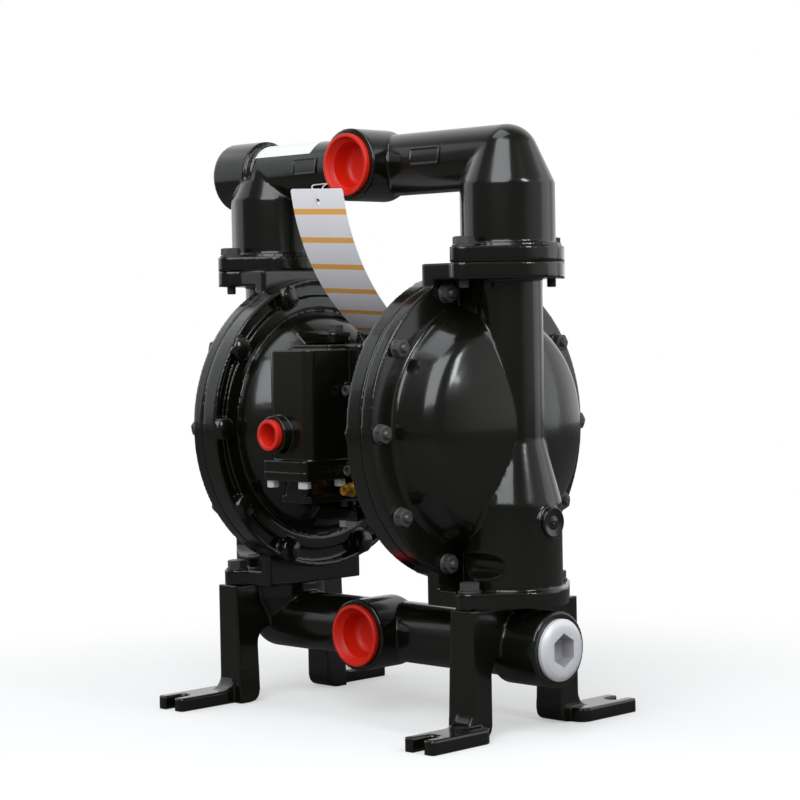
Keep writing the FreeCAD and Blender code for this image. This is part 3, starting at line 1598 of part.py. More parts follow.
def column_plug():
    """Drain plug on the outer side of the right lower column."""
    face = ("plug_boss_reach", "0", "plug_height")
    top = ("plug_boss_reach + plug_head_depth", "0", "plug_height")
    solid = union(
        "column_plug_body",
        rod("column_plug_head", "plug_head", "plug_head_depth", face, "x"),
        rod("column_plug_shank", "plug_shank", "plug_shank_depth", face, "-x"),
    )
    return cut("column_plug", solid, rod("column_plug_dimple", "dimple_radius", "dimple_depth", top, "-x"))


node("end_plug", end_plug())
node("blind_plug", blind_plug())
node("column_plugs", pair_of("column_plug_set", column_plug()))


# Dust caps
def dust_cap(label, x, face, z, rim, rim_depth, bore, bite):
    """Push-in dust cap for a port that faces -Y: a rim, a thin cup and its floor."""
    cup = f"({bore} - cap_fit)"
    at = (x, face, z)
    solid = union(
        f"{label}_solid",
        rod(f"{label}_rim", rim, rim_depth, at, "-y"),
        rod(f"{label}_cup", cup, bite, at, "y"),
    )
    mouth = (x, f"{face} - {rim_depth}", z)
    return cut(
        label,
        solid,
        rod(f"{label}_hollow", f"{cup} - cap_skin", f"{rim_depth} + {bite} - cap_skin", mouth, "y"),
    )


port = ("0", "-port_reach")
node(
    "outlet_cap",
    dust_cap(
        "outlet_dust",
        *port,
        "outlet_height",
        "cap_rim_radius",
        "cap_rim_depth",
        "port_bore",
        "cap_bite",
    ),
)
node(
    "inlet_cap",
    dust_cap(
        "inlet_dust",
        *port,
        "inlet_height",
        "cap_rim_radius",
        "cap_rim_depth",
        "port_bore",
        "cap_bite",
    ),
)
air_port = ("inlet_offset", "-inlet_face", "air_inlet_height")
node(
    "air_inlet_cap",
    dust_cap("air_dust", *air_port, "air_cap_rim", "air_cap_rise", "inlet_bore", "air_cap_bite"),
)


# Ball seats, rings and balls
def seat(label, joint):
    """Ball seat on the right column: a ring with a straight throat and a conical mouth."""
    corners = (
        ("throat_radius", "0"),
        ("seat_radius", "0"),
        ("seat_radius", "seat_depth"),
        ("throat_radius + seat_depth - throat_depth", "seat_depth"),
        ("throat_radius", "throat_depth"),
    )
    return turned(label, "z", corners, ("column_offset", "0", f"{joint} + seal_depth"))


for port_name in ("outlet", "inlet"):
    joint = f"{port_name}_joint"
    place_low = ("column_offset", "0", joint)
    node(f"{port_name}_seats", pair_of(f"{port_name}_seat_set", seat(f"{port_name}_seat", joint)))
    seal = ring(f"{port_name}_seal", "seat_radius", "seal_bore", "seal_depth", place_low)
    node(f"{port_name}_seat_rings", pair_of(f"{port_name}_seal_set", seal))
    right_ball = ball(f"{port_name}_ball", "ball_radius", ("column_offset", "0", f"{joint} + {BALL_REST}"))
    node(f"{port_name}_ball_right", right_ball)
    node(f"{port_name}_ball_left", mirrored(f"{port_name}_ball_twin", right_ball, (1, 0, 0)))


# Shaft, plates and diaphragms
PLATE_BACK = "(cap_parting - bead_depth)"
PLATE_INNER = f"({PLATE_BACK} - inner_plate_depth)"
tapped = [
    rod(
        f"shaft_tap_{side}",
        "plate_bolt + thread_gap",
        "plate_bolt_bite + 1",
        (f"{sign}{PLATE_INNER}", "0", "shaft_height"),
        f"{back}x",
    )
    for side, sign, back in (("left", "-", ""), ("right", "", "-"))
]
node(
    "diaphragm_shaft",
    cut("shaft", through("shaft_bar", "shaft_radius", PLATE_INNER, "shaft_height"), *tapped),
)


def shaft_piece(label, corners):
    """Piece turned about the shaft, given at its place on the right side."""
    return turned(label, "x", corners, ("0", "0", "shaft_height"))


inner_plate = shaft_piece(
    "inner_plate",
    (
        (PLATE_INNER, "plate_bolt + thread_gap"),
        (PLATE_INNER, "shaft_radius"),
        (f"{PLATE_INNER} - inner_hub_depth", "shaft_radius + thread_gap"),
        (f"{PLATE_INNER} - inner_hub_depth", "inner_hub"),
        (PLATE_INNER, "inner_hub + inner_hub_depth / 2"),
        (PLATE_INNER, "inner_plate - plate_round", "-plate_round"),
        (f"{PLATE_INNER} + plate_round", "inner_plate"),
        (PLATE_BACK, "inner_plate"),
        (PLATE_BACK, "plate_bolt + thread_gap"),
    ),
)
node("inner_plates", pair_of("inner_plate_set", inner_plate))
outer_plate = shaft_piece(
    "outer_plate",
    (
        ("cap_parting", "plate_bolt + thread_gap"),
        ("cap_parting", "outer_plate"),
        ("cap_parting + outer_plate_edge", "outer_plate"),
        ("cap_parting + outer_plate_depth", "plate_bolt_width"),
        ("cap_parting + outer_plate_depth", "plate_bolt + thread_gap"),
    ),
)
node("outer_plates", pair_of("outer_plate_set", outer_plate))
bolt_seat = ("cap_parting + outer_plate_depth", "0", "shaft_height")
plate_bolt = union(
    "plate_bolt_body",
    hexagon("plate_bolt_head", "plate_bolt_width", "plate_bolt_head", bolt_seat, "x"),
    rod(
        "plate_bolt_shank",
        "plate_bolt",
        f"cap_parting + outer_plate_depth - {PLATE_INNER} + plate_bolt_bite",
        bolt_seat,
        "-x",
    ),
)
node("plate_bolts", pair_of("plate_bolt_set", plate_bolt))
diaphragm = shaft_piece(
    "diaphragm",
    (
        (PLATE_BACK, "plate_bolt + thread_gap"),
        (PLATE_BACK, "fold_inner", "fold_radius"),
        (PLATE_BACK, "fold_outer"),
        (PLATE_BACK, "bead_radius - bead_gap"),
        ("cap_parting", "bead_radius - bead_gap"),
        ("cap_parting", "fold_outer", "-fold_radius"),
        ("cap_parting", "fold_inner"),
        ("cap_parting", "plate_bolt + thread_gap"),
    ),
)
node("diaphragms", pair_of("diaphragm_set", diaphragm))


def bearing_pair(label, outer, inner, length, start, height):
    """Two rings round the shaft or pilot rod, one on each side."""
    return pair_of(label, ring(f"{label}_ring", outer, inner, length, (start, "0", height), "x"))


bush_start = f"{BUSHING_END} - bushing_depth"
shaft_hole = "shaft_radius + shaft_gap"
node(
    "shaft_bushings",
    bearing_pair("bushing", "bushing_radius", shaft_hole, "bushing_depth", bush_start, "shaft_height"),
)
node(
    "shaft_seals",
    bearing_pair("shaft_seal", "ring_radius", shaft_hole, "ring_depth", BUSHING_END, "shaft_height"),
)
pilot_start = f"{SPIGOT_FACE} - pilot_bush_depth"
pilot_hole = "pilot_radius + shaft_gap"
node(
    "pilot_bushings",
    bearing_pair("pilot_bushing", "pilot_bush", pilot_hole, "pilot_bush_depth", pilot_start, PILOT_HEIGHT),
)
pilot = cut(
    "pilot",
    through("pilot_bar", "pilot_radius", "pilot_half", PILOT_HEIGHT),
    ring(
        "pilot_groove",
        "pilot_radius + 1",
        "pilot_waist",
        "2 * pilot_waist_half",
        ("-pilot_waist_half", "0", PILOT_HEIGHT),
        "x",
    ),
)
node("pilot_rod", pilot)


# Spool, cups, insert and valve plate
SPOOL_RADIUS = "(spool_bore - spool_gap)"
WAIST_TOP = "(waist_low + waist_length)"
PLATE_MIDDLE = "((plate_low + plate_high) / 2)"
spool_corners = (
    ("0", "spool_bottom + cup_depth"),
    (SPOOL_RADIUS, "spool_bottom + cup_depth"),
    (SPOOL_RADIUS, "waist_low"),
    ("spool_waist", "waist_low"),
    ("spool_waist", WAIST_TOP),
    (SPOOL_RADIUS, WAIST_TOP),
    (SPOOL_RADIUS, "spool_bottom + spool_length - cup_depth"),
    ("0", "spool_bottom + spool_length - cup_depth"),
)
node("spool", turned("spool_bar", "z", spool_corners, ("0", "-spool_place", "0")))
cup_low = rod("cup_low", SPOOL_RADIUS, "cup_depth", ("0", "-spool_place", "spool_bottom"))
cup_high = rod(
    "cup_high",
    SPOOL_RADIUS,
    "cup_depth",
    ("0", "-spool_place", "spool_bottom + spool_length - cup_depth"),
)
node("spool_cups", group("cups", cup_low, cup_high))
insert = block(
    "insert",
    ("-insert_half", "insert_half"),
    ("-spool_place + spool_waist + insert_gap", f"{PLATE_FRONT} - insert_gap"),
    ("waist_low", WAIST_TOP),
)
node("valve_insert", insert)
plate = block(
    "plate",
    ("-plate_half", "plate_half"),
    (PLATE_FRONT, BLOCK_BACK),
    ("plate_low", "plate_high"),
)
plate_ports = [
    block(f"plate_port_{name}", ("-insert_half / 2", "insert_half / 2"), (PLATE_FRONT, BLOCK_BACK), span)
    for name, span in (
        ("low", ("plate_low + plate_port_edge", "plate_low + plate_port_edge + plate_port")),
        ("middle", (f"{PLATE_MIDDLE} - plate_port_middle / 2", f"{PLATE_MIDDLE} + plate_port_middle / 2")),
        ("high", ("plate_high - plate_port_edge - plate_port", "plate_high - plate_port_edge")),
    )
]
node("valve_plate", cut("plate_cut", plate, *plate_ports))


# Hang tag: a stiff card that curls backwards under the upper pipe, and its thin tie
TAG_TOP = Vector(0, value("-tag_front"), value("tag_top"))
TAG_BEND = Vector(0, value("-tag_bend_front"), value("tag_bend"))
TAG_END = Vector(0, value("tag_back"), value("tag_low"))
TAG_MIDDLE = value("tag_width / 2 - tag_side")
TAG_EYE = value("tag_eye")


def hang_tag():
    """Curled card with a tie hole near its top edge."""
    curve = Part.Arc(TAG_TOP, TAG_BEND, TAG_END).toShape().Curve
    depth = value("tag_depth")
    far = [point + (point - curve.Center).normalize() * depth for point in (TAG_TOP, TAG_BEND, TAG_END)]
    edges = [
        Part.Arc(TAG_TOP, TAG_BEND, TAG_END).toShape(),
        Part.makeLine(TAG_END, far[2]),
        Part.Arc(far[2], far[1], far[0]).toShape(),
        Part.makeLine(far[0], TAG_TOP),
    ]
    card = Part.Face(Part.Wire(edges)).extrude(Vector(value("tag_width"), 0, 0))
    card.translate(Vector(value("-tag_side"), 0, 0))
    start = Vector(TAG_MIDDLE, TAG_TOP.y, TAG_EYE)
    eye = Part.makeCylinder(value("tag_hole"), value("tag_front"), start, Vector(0, 1, 0))
    return card.cut(eye)


def bent_wire(points, radius):
    """Thin round wire through a list of points."""
    pieces = [Part.makeSphere(radius, point) for point in points]
    for start, end in zip(points, points[1:]):
        way = end - start
        pieces.append(Part.makeCylinder(radius, way.Length, start, way))
    return pieces[0].fuse(pieces[1:])


def tag_tie():
    """Tie from the rim of the outlet's dust cap, over the card's edge and back through its hole."""
    radius = value("tie_radius")
    lean = math.radians(value("tie_lean"))
    reach = value("cap_rim_radius") + radius
    height = value("outlet_height") - reach * math.sin(lean)
    rim = Vector(-reach * math.cos(lean), value("-port_reach") - radius, height)
    face = TAG_TOP.y - value("tag_depth") - 1.2 * radius
    edge = Vector(TAG_MIDDLE + value("tie_side"), face, TAG_TOP.z + 1.5 * radius)
    front = Vector(TAG_MIDDLE, face, TAG_EYE)
    behind = Vector(TAG_MIDDLE, TAG_TOP.y + value("tie_behind"), TAG_EYE)
    return bent_wire([edge, front, behind, rim, edge], radius)


for trim_name, shape in (("hang_tag", hang_tag()), ("tag_tie", tag_tie())):
    trim = doc.addObject("Part::Feature", f"{trim_name}_shape")
    trim.Shape = shape
    node(trim_name, trim)


def check_and_export():
    """Stop on any failed object, then write one file per node."""
    doc.recompute()
    failed = [item.Label for item in doc.Objects if {"Invalid", "Error"} & set(item.State)]
    if failed:
        raise RuntimeError(f"failed objects: {failed}")
    for name, piece in NODES.items():
        if piece.Shape.isNull() or not piece.Shape.isValid() or not piece.Shape.Solids:
            raise RuntimeError(f"{name} has no valid solid")
    os.makedirs("parts", exist_ok=True)
    for name, piece in NODES.items():
        piece.Shape.exportStep(os.path.join("parts", f"{name}.step"))


check_and_export()
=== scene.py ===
"""Air-operated double diaphragm pump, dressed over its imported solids.

The castings are iron and aluminium under gloss black enamel. They get a soft cast skin in place of
the sharp solid edges. Fasteners, plugs, dust caps, the diaphragms, the hang tag and the pipe's label
are pieces of their own. Everything is in metres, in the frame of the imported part.
"""

from __future__ import annotations

import json
import logging
import math
from dataclasses import dataclass, field
from enum import Enum

import bmesh
import bpy
from mathutils import Matrix, Vector

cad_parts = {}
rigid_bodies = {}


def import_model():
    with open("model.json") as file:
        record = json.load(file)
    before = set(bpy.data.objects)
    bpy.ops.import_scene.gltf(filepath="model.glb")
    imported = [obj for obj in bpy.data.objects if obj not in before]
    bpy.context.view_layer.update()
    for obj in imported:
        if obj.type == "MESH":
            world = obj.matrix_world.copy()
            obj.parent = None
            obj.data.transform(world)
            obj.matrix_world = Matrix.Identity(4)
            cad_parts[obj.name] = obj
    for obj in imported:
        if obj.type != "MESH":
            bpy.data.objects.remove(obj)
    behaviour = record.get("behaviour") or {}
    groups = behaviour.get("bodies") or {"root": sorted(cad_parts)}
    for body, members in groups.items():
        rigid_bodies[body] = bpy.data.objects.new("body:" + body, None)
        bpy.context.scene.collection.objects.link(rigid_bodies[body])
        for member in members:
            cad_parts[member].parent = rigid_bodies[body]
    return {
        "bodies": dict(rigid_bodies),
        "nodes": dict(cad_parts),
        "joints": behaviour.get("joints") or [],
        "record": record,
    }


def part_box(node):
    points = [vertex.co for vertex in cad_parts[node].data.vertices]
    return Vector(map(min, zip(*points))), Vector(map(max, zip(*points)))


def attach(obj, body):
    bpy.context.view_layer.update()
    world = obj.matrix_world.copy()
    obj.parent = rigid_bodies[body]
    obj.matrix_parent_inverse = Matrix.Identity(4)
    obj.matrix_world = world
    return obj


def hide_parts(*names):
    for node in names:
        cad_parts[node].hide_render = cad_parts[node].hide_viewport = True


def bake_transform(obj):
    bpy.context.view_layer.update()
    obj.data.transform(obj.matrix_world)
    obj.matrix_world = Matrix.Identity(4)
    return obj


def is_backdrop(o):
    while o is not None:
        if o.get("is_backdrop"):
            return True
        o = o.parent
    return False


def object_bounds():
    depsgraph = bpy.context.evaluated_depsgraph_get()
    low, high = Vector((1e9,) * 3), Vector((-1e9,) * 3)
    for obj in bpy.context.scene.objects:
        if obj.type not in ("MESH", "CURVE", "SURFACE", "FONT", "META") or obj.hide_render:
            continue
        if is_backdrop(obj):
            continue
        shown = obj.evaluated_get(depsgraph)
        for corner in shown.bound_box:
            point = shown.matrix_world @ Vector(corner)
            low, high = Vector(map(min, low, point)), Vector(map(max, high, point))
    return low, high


Colour = tuple[float, float, float, float]
Faces = list[bmesh.types.BMFace]
Grid = list[list[bmesh.types.BMVert]]
Mesh = bpy.types.Mesh
Pair = tuple[float, float]
Profile = tuple[Pair, ...]
Ring = list[Vector]
Socket = bpy.types.NodeSocket
Tree = bpy.types.NodeTree

LOG = logging.getLogger("diaphragm_pump")
MM = 0.001
WHITE = (1.0, 1.0, 1.0, 1.0)
# Distance under which two corners of a CAD mesh are one
WELD = 1e-6


# Nodes


def linear(code: str) -> Colour:
    """Turn an sRGB hex colour, such as "#1a2b3c", to linear with an alpha of 1."""
    channels = [int(code[start : start + 2], 16) / 255 for start in (1, 3, 5)]
    return (*(c / 12.92 if c <= 0.04045 else ((c + 0.055) / 1.055) ** 2.4 for c in channels), 1.0)


def add(tree: Tree, kind: str, inputs: dict | None = None, **settings: object) -> bpy.types.Node:
    """Add a node with its settings and links.

    Args:
        tree: node tree that gets the node.
        kind: Blender's name of the node type.
        inputs: socket name or number to a value, or to the socket that feeds it.
        settings: properties of the node.

    Returns:
        The new node.
    """
    node = tree.nodes.new(kind)
    for name, setting in settings.items():
        setattr(node, name, setting)
    for key, given in (inputs or {}).items():
        if isinstance(given, Socket):
            tree.links.new(given, node.inputs[key])
        else:
            node.inputs[key].default_value = given
    return node


def maths(tree: Tree, operation: str, first: Socket | float, second: Socket | float) -> Socket:
    """Work out one step of arithmetic."""
    return add(tree, "ShaderNodeMath", {0: first, 1: second}, operation=operation).outputs[0]


def ramp(tree: Tree, value: Socket, given: Pair, made: Pair, kind: str = "LINEAR") -> Socket:
    """Map a value from one span to another, whose ends go into sockets 1 to 4."""
    inputs = {"Value": value, **dict(enumerate((*given, *made), start=1))}
    return add(tree, "ShaderNodeMapRange", inputs, interpolation_type=kind).outputs["Result"]


def mixed(tree: Tree, share: Socket, first: Colour | Socket, second: Colour) -> Socket:
    """Mix two colours, which go into sockets 6 and 7 and come mixed out of socket 2."""
    inputs = {0: share, 6: first, 7: second}
    return add(tree, "ShaderNodeMix", inputs, data_type="RGBA").outputs[2]


def either(tree: Tree, share: Socket, first: Socket, second: Socket) -> Socket:
    """Mix two shaders."""
    return add(tree, "ShaderNodeMixShader", {0: share, 1: first, 2: second}).outputs[0]


def glow(tree: Tree, colour: Colour | Socket, strength: float | Socket = 1.0) -> Socket:
    """Make a background's light."""
    return add(tree, "ShaderNodeBackground", {"Color": colour, "Strength": strength}).outputs[0]


def noise(tree: Tree, place: Socket, spacing: float, detail: float) -> Socket:
    """Make a cloudy value.

    Args:
        tree: node tree that gets the noise.
        place: where it is measured.
        spacing: distance between its clouds, in millimetres.
        detail: how many finer layers it has.

    Returns:
        Socket that holds the value.
    """
    inputs = {"Vector": place, "Scale": 1 / (spacing * MM), "Detail": detail}
    return add(tree, "ShaderNodeTexNoise", inputs).outputs["Fac"]


def blank(owner: bpy.types.Material | bpy.types.World) -> Tree:
    """Give the emptied node tree of a material or a world."""
    owner.use_nodes = True
    owner.node_tree.nodes.clear()
    return owner.node_tree


# Materials


@dataclass(frozen=True)
class Grain:
    """One layer of relief: the distance between its grains and its height, in millimetres."""

    spacing: float
    height: float
    detail: float = 2.0


@dataclass(frozen=True)
class Finish:
    """A real surface: its two mottled colours, its gloss and its relief."""

    name: str
    colour: str
    shade: str
    roughness: Pair
    mottle: float
    metallic: float = 0.0
    coat: float = 0.0
    coat_roughness: float = 0.1
    subsurface: float = 0.0
    grains: tuple[Grain, ...] = ()
    ior: float = 1.5
    light_depth: float = 2 * MM
    cloud_detail: float = 3.0
    # The gloss has broader clouds than the colour, whose values mostly lie in this span
    haze_share: float = 0.6
    haze_detail: float = 4.0
    haze_span: Pair = (0.3, 0.7)

    def colour_socket(self, tree: Tree, place: Socket) -> Socket:
        """Mottle the two colours.

        Args:
            tree: material's node tree.
            place: object coordinates.

        Returns:
            Socket that holds the surface colour.
        """
        cloud = noise(tree, place, self.mottle, self.cloud_detail)
        return mixed(tree, cloud, linear(self.colour), linear(self.shade))

    def relief_socket(self, tree: Tree, place: Socket) -> Socket | None:
        """Stack the layers of relief.

        Args:
            tree: material's node tree.
            place: object coordinates.

        Returns:
            Socket that holds the bumped normal, or None for a flat surface.
        """
        normal = None
        for grain in self.grains:
            height = noise(tree, place, grain.spacing, grain.detail)
            inputs = {"Strength": 1.0, "Distance": grain.height * MM, "Height": height}
            if normal is not None:
                inputs["Normal"] = normal
            normal = add(tree, "ShaderNodeBump", inputs).outputs["Normal"]
        return normal

    def build(self) -> bpy.types.Material:
        """Make the Blender material."""
        material = bpy.data.materials.new(self.name)
        tree = blank(material)
        place = add(tree, "ShaderNodeTexCoord").outputs["Object"]
        haze = noise(tree, place, self.mottle / self.haze_share, self.haze_detail)
        inputs = {
            "Base Color": self.colour_socket(tree, place),
            "Roughness": ramp(tree, haze, self.haze_span, self.roughness),
            "Metallic": self.metallic,
            "IOR": self.ior,
            "Coat Weight": self.coat,
            "Coat Roughness": self.coat_roughness,
            "Subsurface Weight": self.subsurface,
            "Subsurface Scale": self.light_depth,
        }
        normal = self.relief_socket(tree, place)
        if normal is not None:
            inputs["Normal"] = normal
        shader = add(tree, "ShaderNodeBsdfPrincipled", inputs)
        add(tree, "ShaderNodeOutputMaterial", {"Surface": shader.outputs["BSDF"]})
        return material


@dataclass(frozen=True)
class PrintedCard(Finish):
    """Coated card with plain colour bands across it, placed by the card's own UV map in metres.

    The bands' start, spacing and width are in millimetres along the card.
    """

    band: str = "#f2b25c"
    first: float = 19.0
    pitch: float = 28.0
    width: float = 5.6

    def colour_socket(self, tree: Tree, place: Socket) -> Socket:
        """Lay the bands over the card's own colour."""
        card = super().colour_socket(tree, place)
        chart = add(tree, "ShaderNodeUVMap", uv_map="card").outputs[0]
        along = add(tree, "ShaderNodeSeparateXYZ", {0: chart}).outputs["Y"]
        past = maths(tree, "SUBTRACT", along, self.first * MM)
        step = maths(tree, "FLOORED_MODULO", past, self.pitch * MM)
        inside = maths(tree, "LESS_THAN", step, self.width * MM)
        started = maths(tree, "GREATER_THAN", past, 0.0)
        return mixed(tree, maths(tree, "MULTIPLY", inside, started), card, linear(self.band))


@dataclass(frozen=True)
class SocketShadedMetal(Finish):
    """Turned metal round a hex socket, whose walls and floor are painted a darker grey as shade.

    The socket's axis along X, its reach round it and the plug's face are in millimetres.
    """

    # Darker grey painted into the socket as its shade
    socket: str = "#bcbbc0"
    axis: Pair = (0.0, 77.5)
    reach: float = 15.7
    face: float = 215.9

    def colour_socket(self, tree: Tree, place: Socket) -> Socket:
        """Paint shade on the walls and floor of the socket in a darker grey."""
        turned = super().colour_socket(tree, place)
        at = add(tree, "ShaderNodeSeparateXYZ", {0: place}).outputs
        flat = add(tree, "ShaderNodeCombineXYZ", {"Y": at["Y"], "Z": at["Z"]}).outputs[0]
        centre = (0.0, self.axis[0] * MM, self.axis[1] * MM)
        off = add(tree, "ShaderNodeVectorMath", {0: flat, 1: centre}, operation="DISTANCE")
        # Painted shade: inside the socket's reach and below the plug's face the colour turns to the darker
        # grey
        near = maths(tree, "LESS_THAN", off.outputs["Value"], self.reach * MM)
        sunk = maths(tree, "LESS_THAN", at["X"], self.face * MM)
        return mixed(tree, maths(tree, "MULTIPLY", near, sunk), turned, linear(self.socket))


class Coat(Enum):
    """The pump's finishes, each named for its real material."""

    # Baked gloss enamel over a casting: near black, with broad soft lights and a faint cast waviness
    ENAMEL = Finish(
        "gloss_black_baked_enamel",
        "#0b0c06",
        "#0e0f08",
        (0.17, 0.24),
        mottle=30.0,
        coat=0.45,
        coat_roughness=0.08,
        grains=(Grain(26.0, 0.08), Grain(2.4, 0.004)),
    )
    # Phosphated and oiled steel: dark grey, half matt, slightly metallic
    BLACK_OXIDE = Finish(
        "phosphated_oiled_steel", "#434342", "#575654", (0.3, 0.42), 4.0, 0.35, grains=(Grain(0.9, 0.02),)
    )
    # Bright zinc plate: pale blue-grey metal with a fine crystal haze
    ZINC = Finish(
        "bright_zinc_plate", "#e9eae9", "#d6d7d8", (0.3, 0.44), 3.0, 0.35, grains=(Grain(0.7, 0.012),)
    )
    # Bead blasted aluminium: near white, so finely pitted that it scatters most of its light, with painted
    # shade in its hex socket
    ALUMINIUM = SocketShadedMetal(
        "bead_blasted_aluminium", "#f4f4f9", "#e4e5ea", (0.34, 0.46), 3.0, 0.35, grains=(Grain(1.6, 0.03),)
    )
    # Drawn brass: warm yellow metal with small dull spots
    BRASS = Finish(
        "drawn_brass", "#dba842", "#c08a30", (0.2, 0.34), 3.0, 0.7, grains=(Grain(1.0, 0.01),)
    )
    # Moulded low density polyethylene: clear red, half matt and a little wavy
    RED_POLYETHYLENE = Finish(
        "moulded_red_polyethylene",
        "#d61d05",
        "#c81a04",
        (0.38, 0.5),
        mottle=18.0,
        grains=(Grain(6.0, 0.03), Grain(0.8, 0.006)),
    )
    # Moulded nitrile rubber: matt black with a dusty bloom
    RUBBER = Finish(
        "moulded_nitrile_rubber", "#1a1a1a", "#232323", (0.6, 0.8), 8.0, grains=(Grain(0.8, 0.02),)
    )
    # Turned acetal: milky white and half matt, and a little light passes into it
    ACETAL = Finish(
        "turned_white_acetal",
        "#e9e6dc",
        "#dfdbcf",
        (0.35, 0.5),
        mottle=10.0,
        subsurface=0.1,
        grains=(Grain(0.8, 0.01),),
    )
    # Ground steel: clean grey metal with fine marks
    GROUND_STEEL = Finish(
        "ground_steel", "#c3c4c5", "#a9abad", (0.2, 0.34), 6.0, 1.0, grains=(Grain(0.8, 0.008),)
    )
    # Coated card: cool white with plain orange bands
    CARD = PrintedCard(
        "coated_card_with_orange_bands", "#f1eff4", "#eae8ee", (0.4, 0.55), 25.0, grains=(Grain(9.0, 0.05),)
    )
    # Polyester film label: bright white and smooth, stuck to the pipe
    FILM = Finish(
        "white_polyester_film", "#e6e6e5", "#dededc", (0.3, 0.42), 20.0, grains=(Grain(14.0, 0.04),)
    )
    # Twisted nylon string: off-white with a fibrous surface
    STRING = Finish(
        "white_nylon_string", "#e8e6e0", "#cfccc4", (0.6, 0.75), 2.0, grains=(Grain(0.5, 0.08),)
    )


def placed(name: str, data: bpy.types.ID) -> bpy.types.Object:
    """Make an object of some data and link it into the scene."""
    thing = bpy.data.objects.new(name, data)
    bpy.context.collection.objects.link(thing)
    return thing


class Workshop:
    """Holds the frame and the made materials, and seats each finished piece."""

    # Angle past which an edge of a machined or moulded piece stays sharp
    crease = math.radians(33)

    def __init__(self) -> None:
        """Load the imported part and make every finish."""
        self.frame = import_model()
        self.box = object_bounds()
        self.materials = {coat: coat.value.build() for coat in Coat}

    def node(self, name: str) -> bpy.types.Object:
        """Give the CAD object of a node."""
        return self.frame["nodes"][name]

    def dress(self, name: str, coat: Coat) -> None:
        """Give a CAD node that stays in view its finish."""
        node = self.node(name)
        node.data.materials.clear()
        node.data.materials.append(self.materials[coat])
        LOG.info("%s keeps its solid in %s", name, coat.value.name)

    def seat(
        self,
        name: str,
        mesh: Mesh,
        coat: Coat,
        nodes: tuple[str, ...] = (),
        body: str | None = "root",
    ) -> bpy.types.Object:
        """Put a finished mesh into the scene.

        Args:
            name: name of the piece.
            mesh: its mesh, in place.
            coat: its finish.
            nodes: CAD nodes that it stands for.
            body: body that it rides on, or None to leave it on no body.

        Returns:
            The piece.
        """
        piece = placed(name, mesh)
        mesh.materials.clear()
        mesh.materials.append(self.materials[coat])
        mesh.shade_smooth()
        if coat is not Coat.ENAMEL:
            mesh.set_sharp_from_angle(angle=self.crease)
        if body is not None:
            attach(piece, body)
        if nodes:
            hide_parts(*nodes)
        LOG.info("%s: %d faces in %s", name, len(mesh.polygons), coat.value.name)
        return piece


# Meshes


def to_mesh(name: str, work: bmesh.types.BMesh) -> Mesh:
    """Turn the faces of a work mesh outwards and keep it as a mesh."""
    bmesh.ops.recalc_face_normals(work, faces=work.faces)
    mesh = bpy.data.meshes.new(name)
    work.to_mesh(mesh)
    work.free()
    return mesh


def evaluated(thing: bpy.types.Object) -> Mesh:
    """Give an object's mesh with its modifiers applied."""
    graph = bpy.context.evaluated_depsgraph_get()
    return bpy.data.meshes.new_from_object(thing.evaluated_get(graph))


class Facing(Enum):
    """Way that a turned piece's own Z points."""

    RIGHT = (1, 0, 0)
    LEFT = (-1, 0, 0)
    FRONT = (0, -1, 0)
    UP = (0, 0, 1)
    DOWN = (0, 0, -1)

    def matrix(self, at: Vector) -> Matrix:
        """Placement of a piece that stands at a point and faces this way."""
        turn = Vector(self.value).to_track_quat("Z", "Y").to_matrix().to_4x4()
        return Matrix.Translation(at) @ turn


def arc(
    radius: float, height: float, rounding: float, start: float, end: float, steps: int = 5
) -> Profile:
    """Work out the rings round a corner.

    Args:
        radius: radius of the arc's centre.
        height: height of the arc's centre.
        rounding: radius of the arc itself.
        start: angle of its first ring, in degrees from outwards to upwards.
        end: angle of its last ring.
        steps: number of steps between the rings.

    Returns:
        Radius and height of each ring.
    """
    turns = [math.radians(start + (end - start) * k / steps) for k in range(steps + 1)]
    return tuple((radius + rounding * math.cos(a), height + rounding * math.sin(a)) for a in turns)


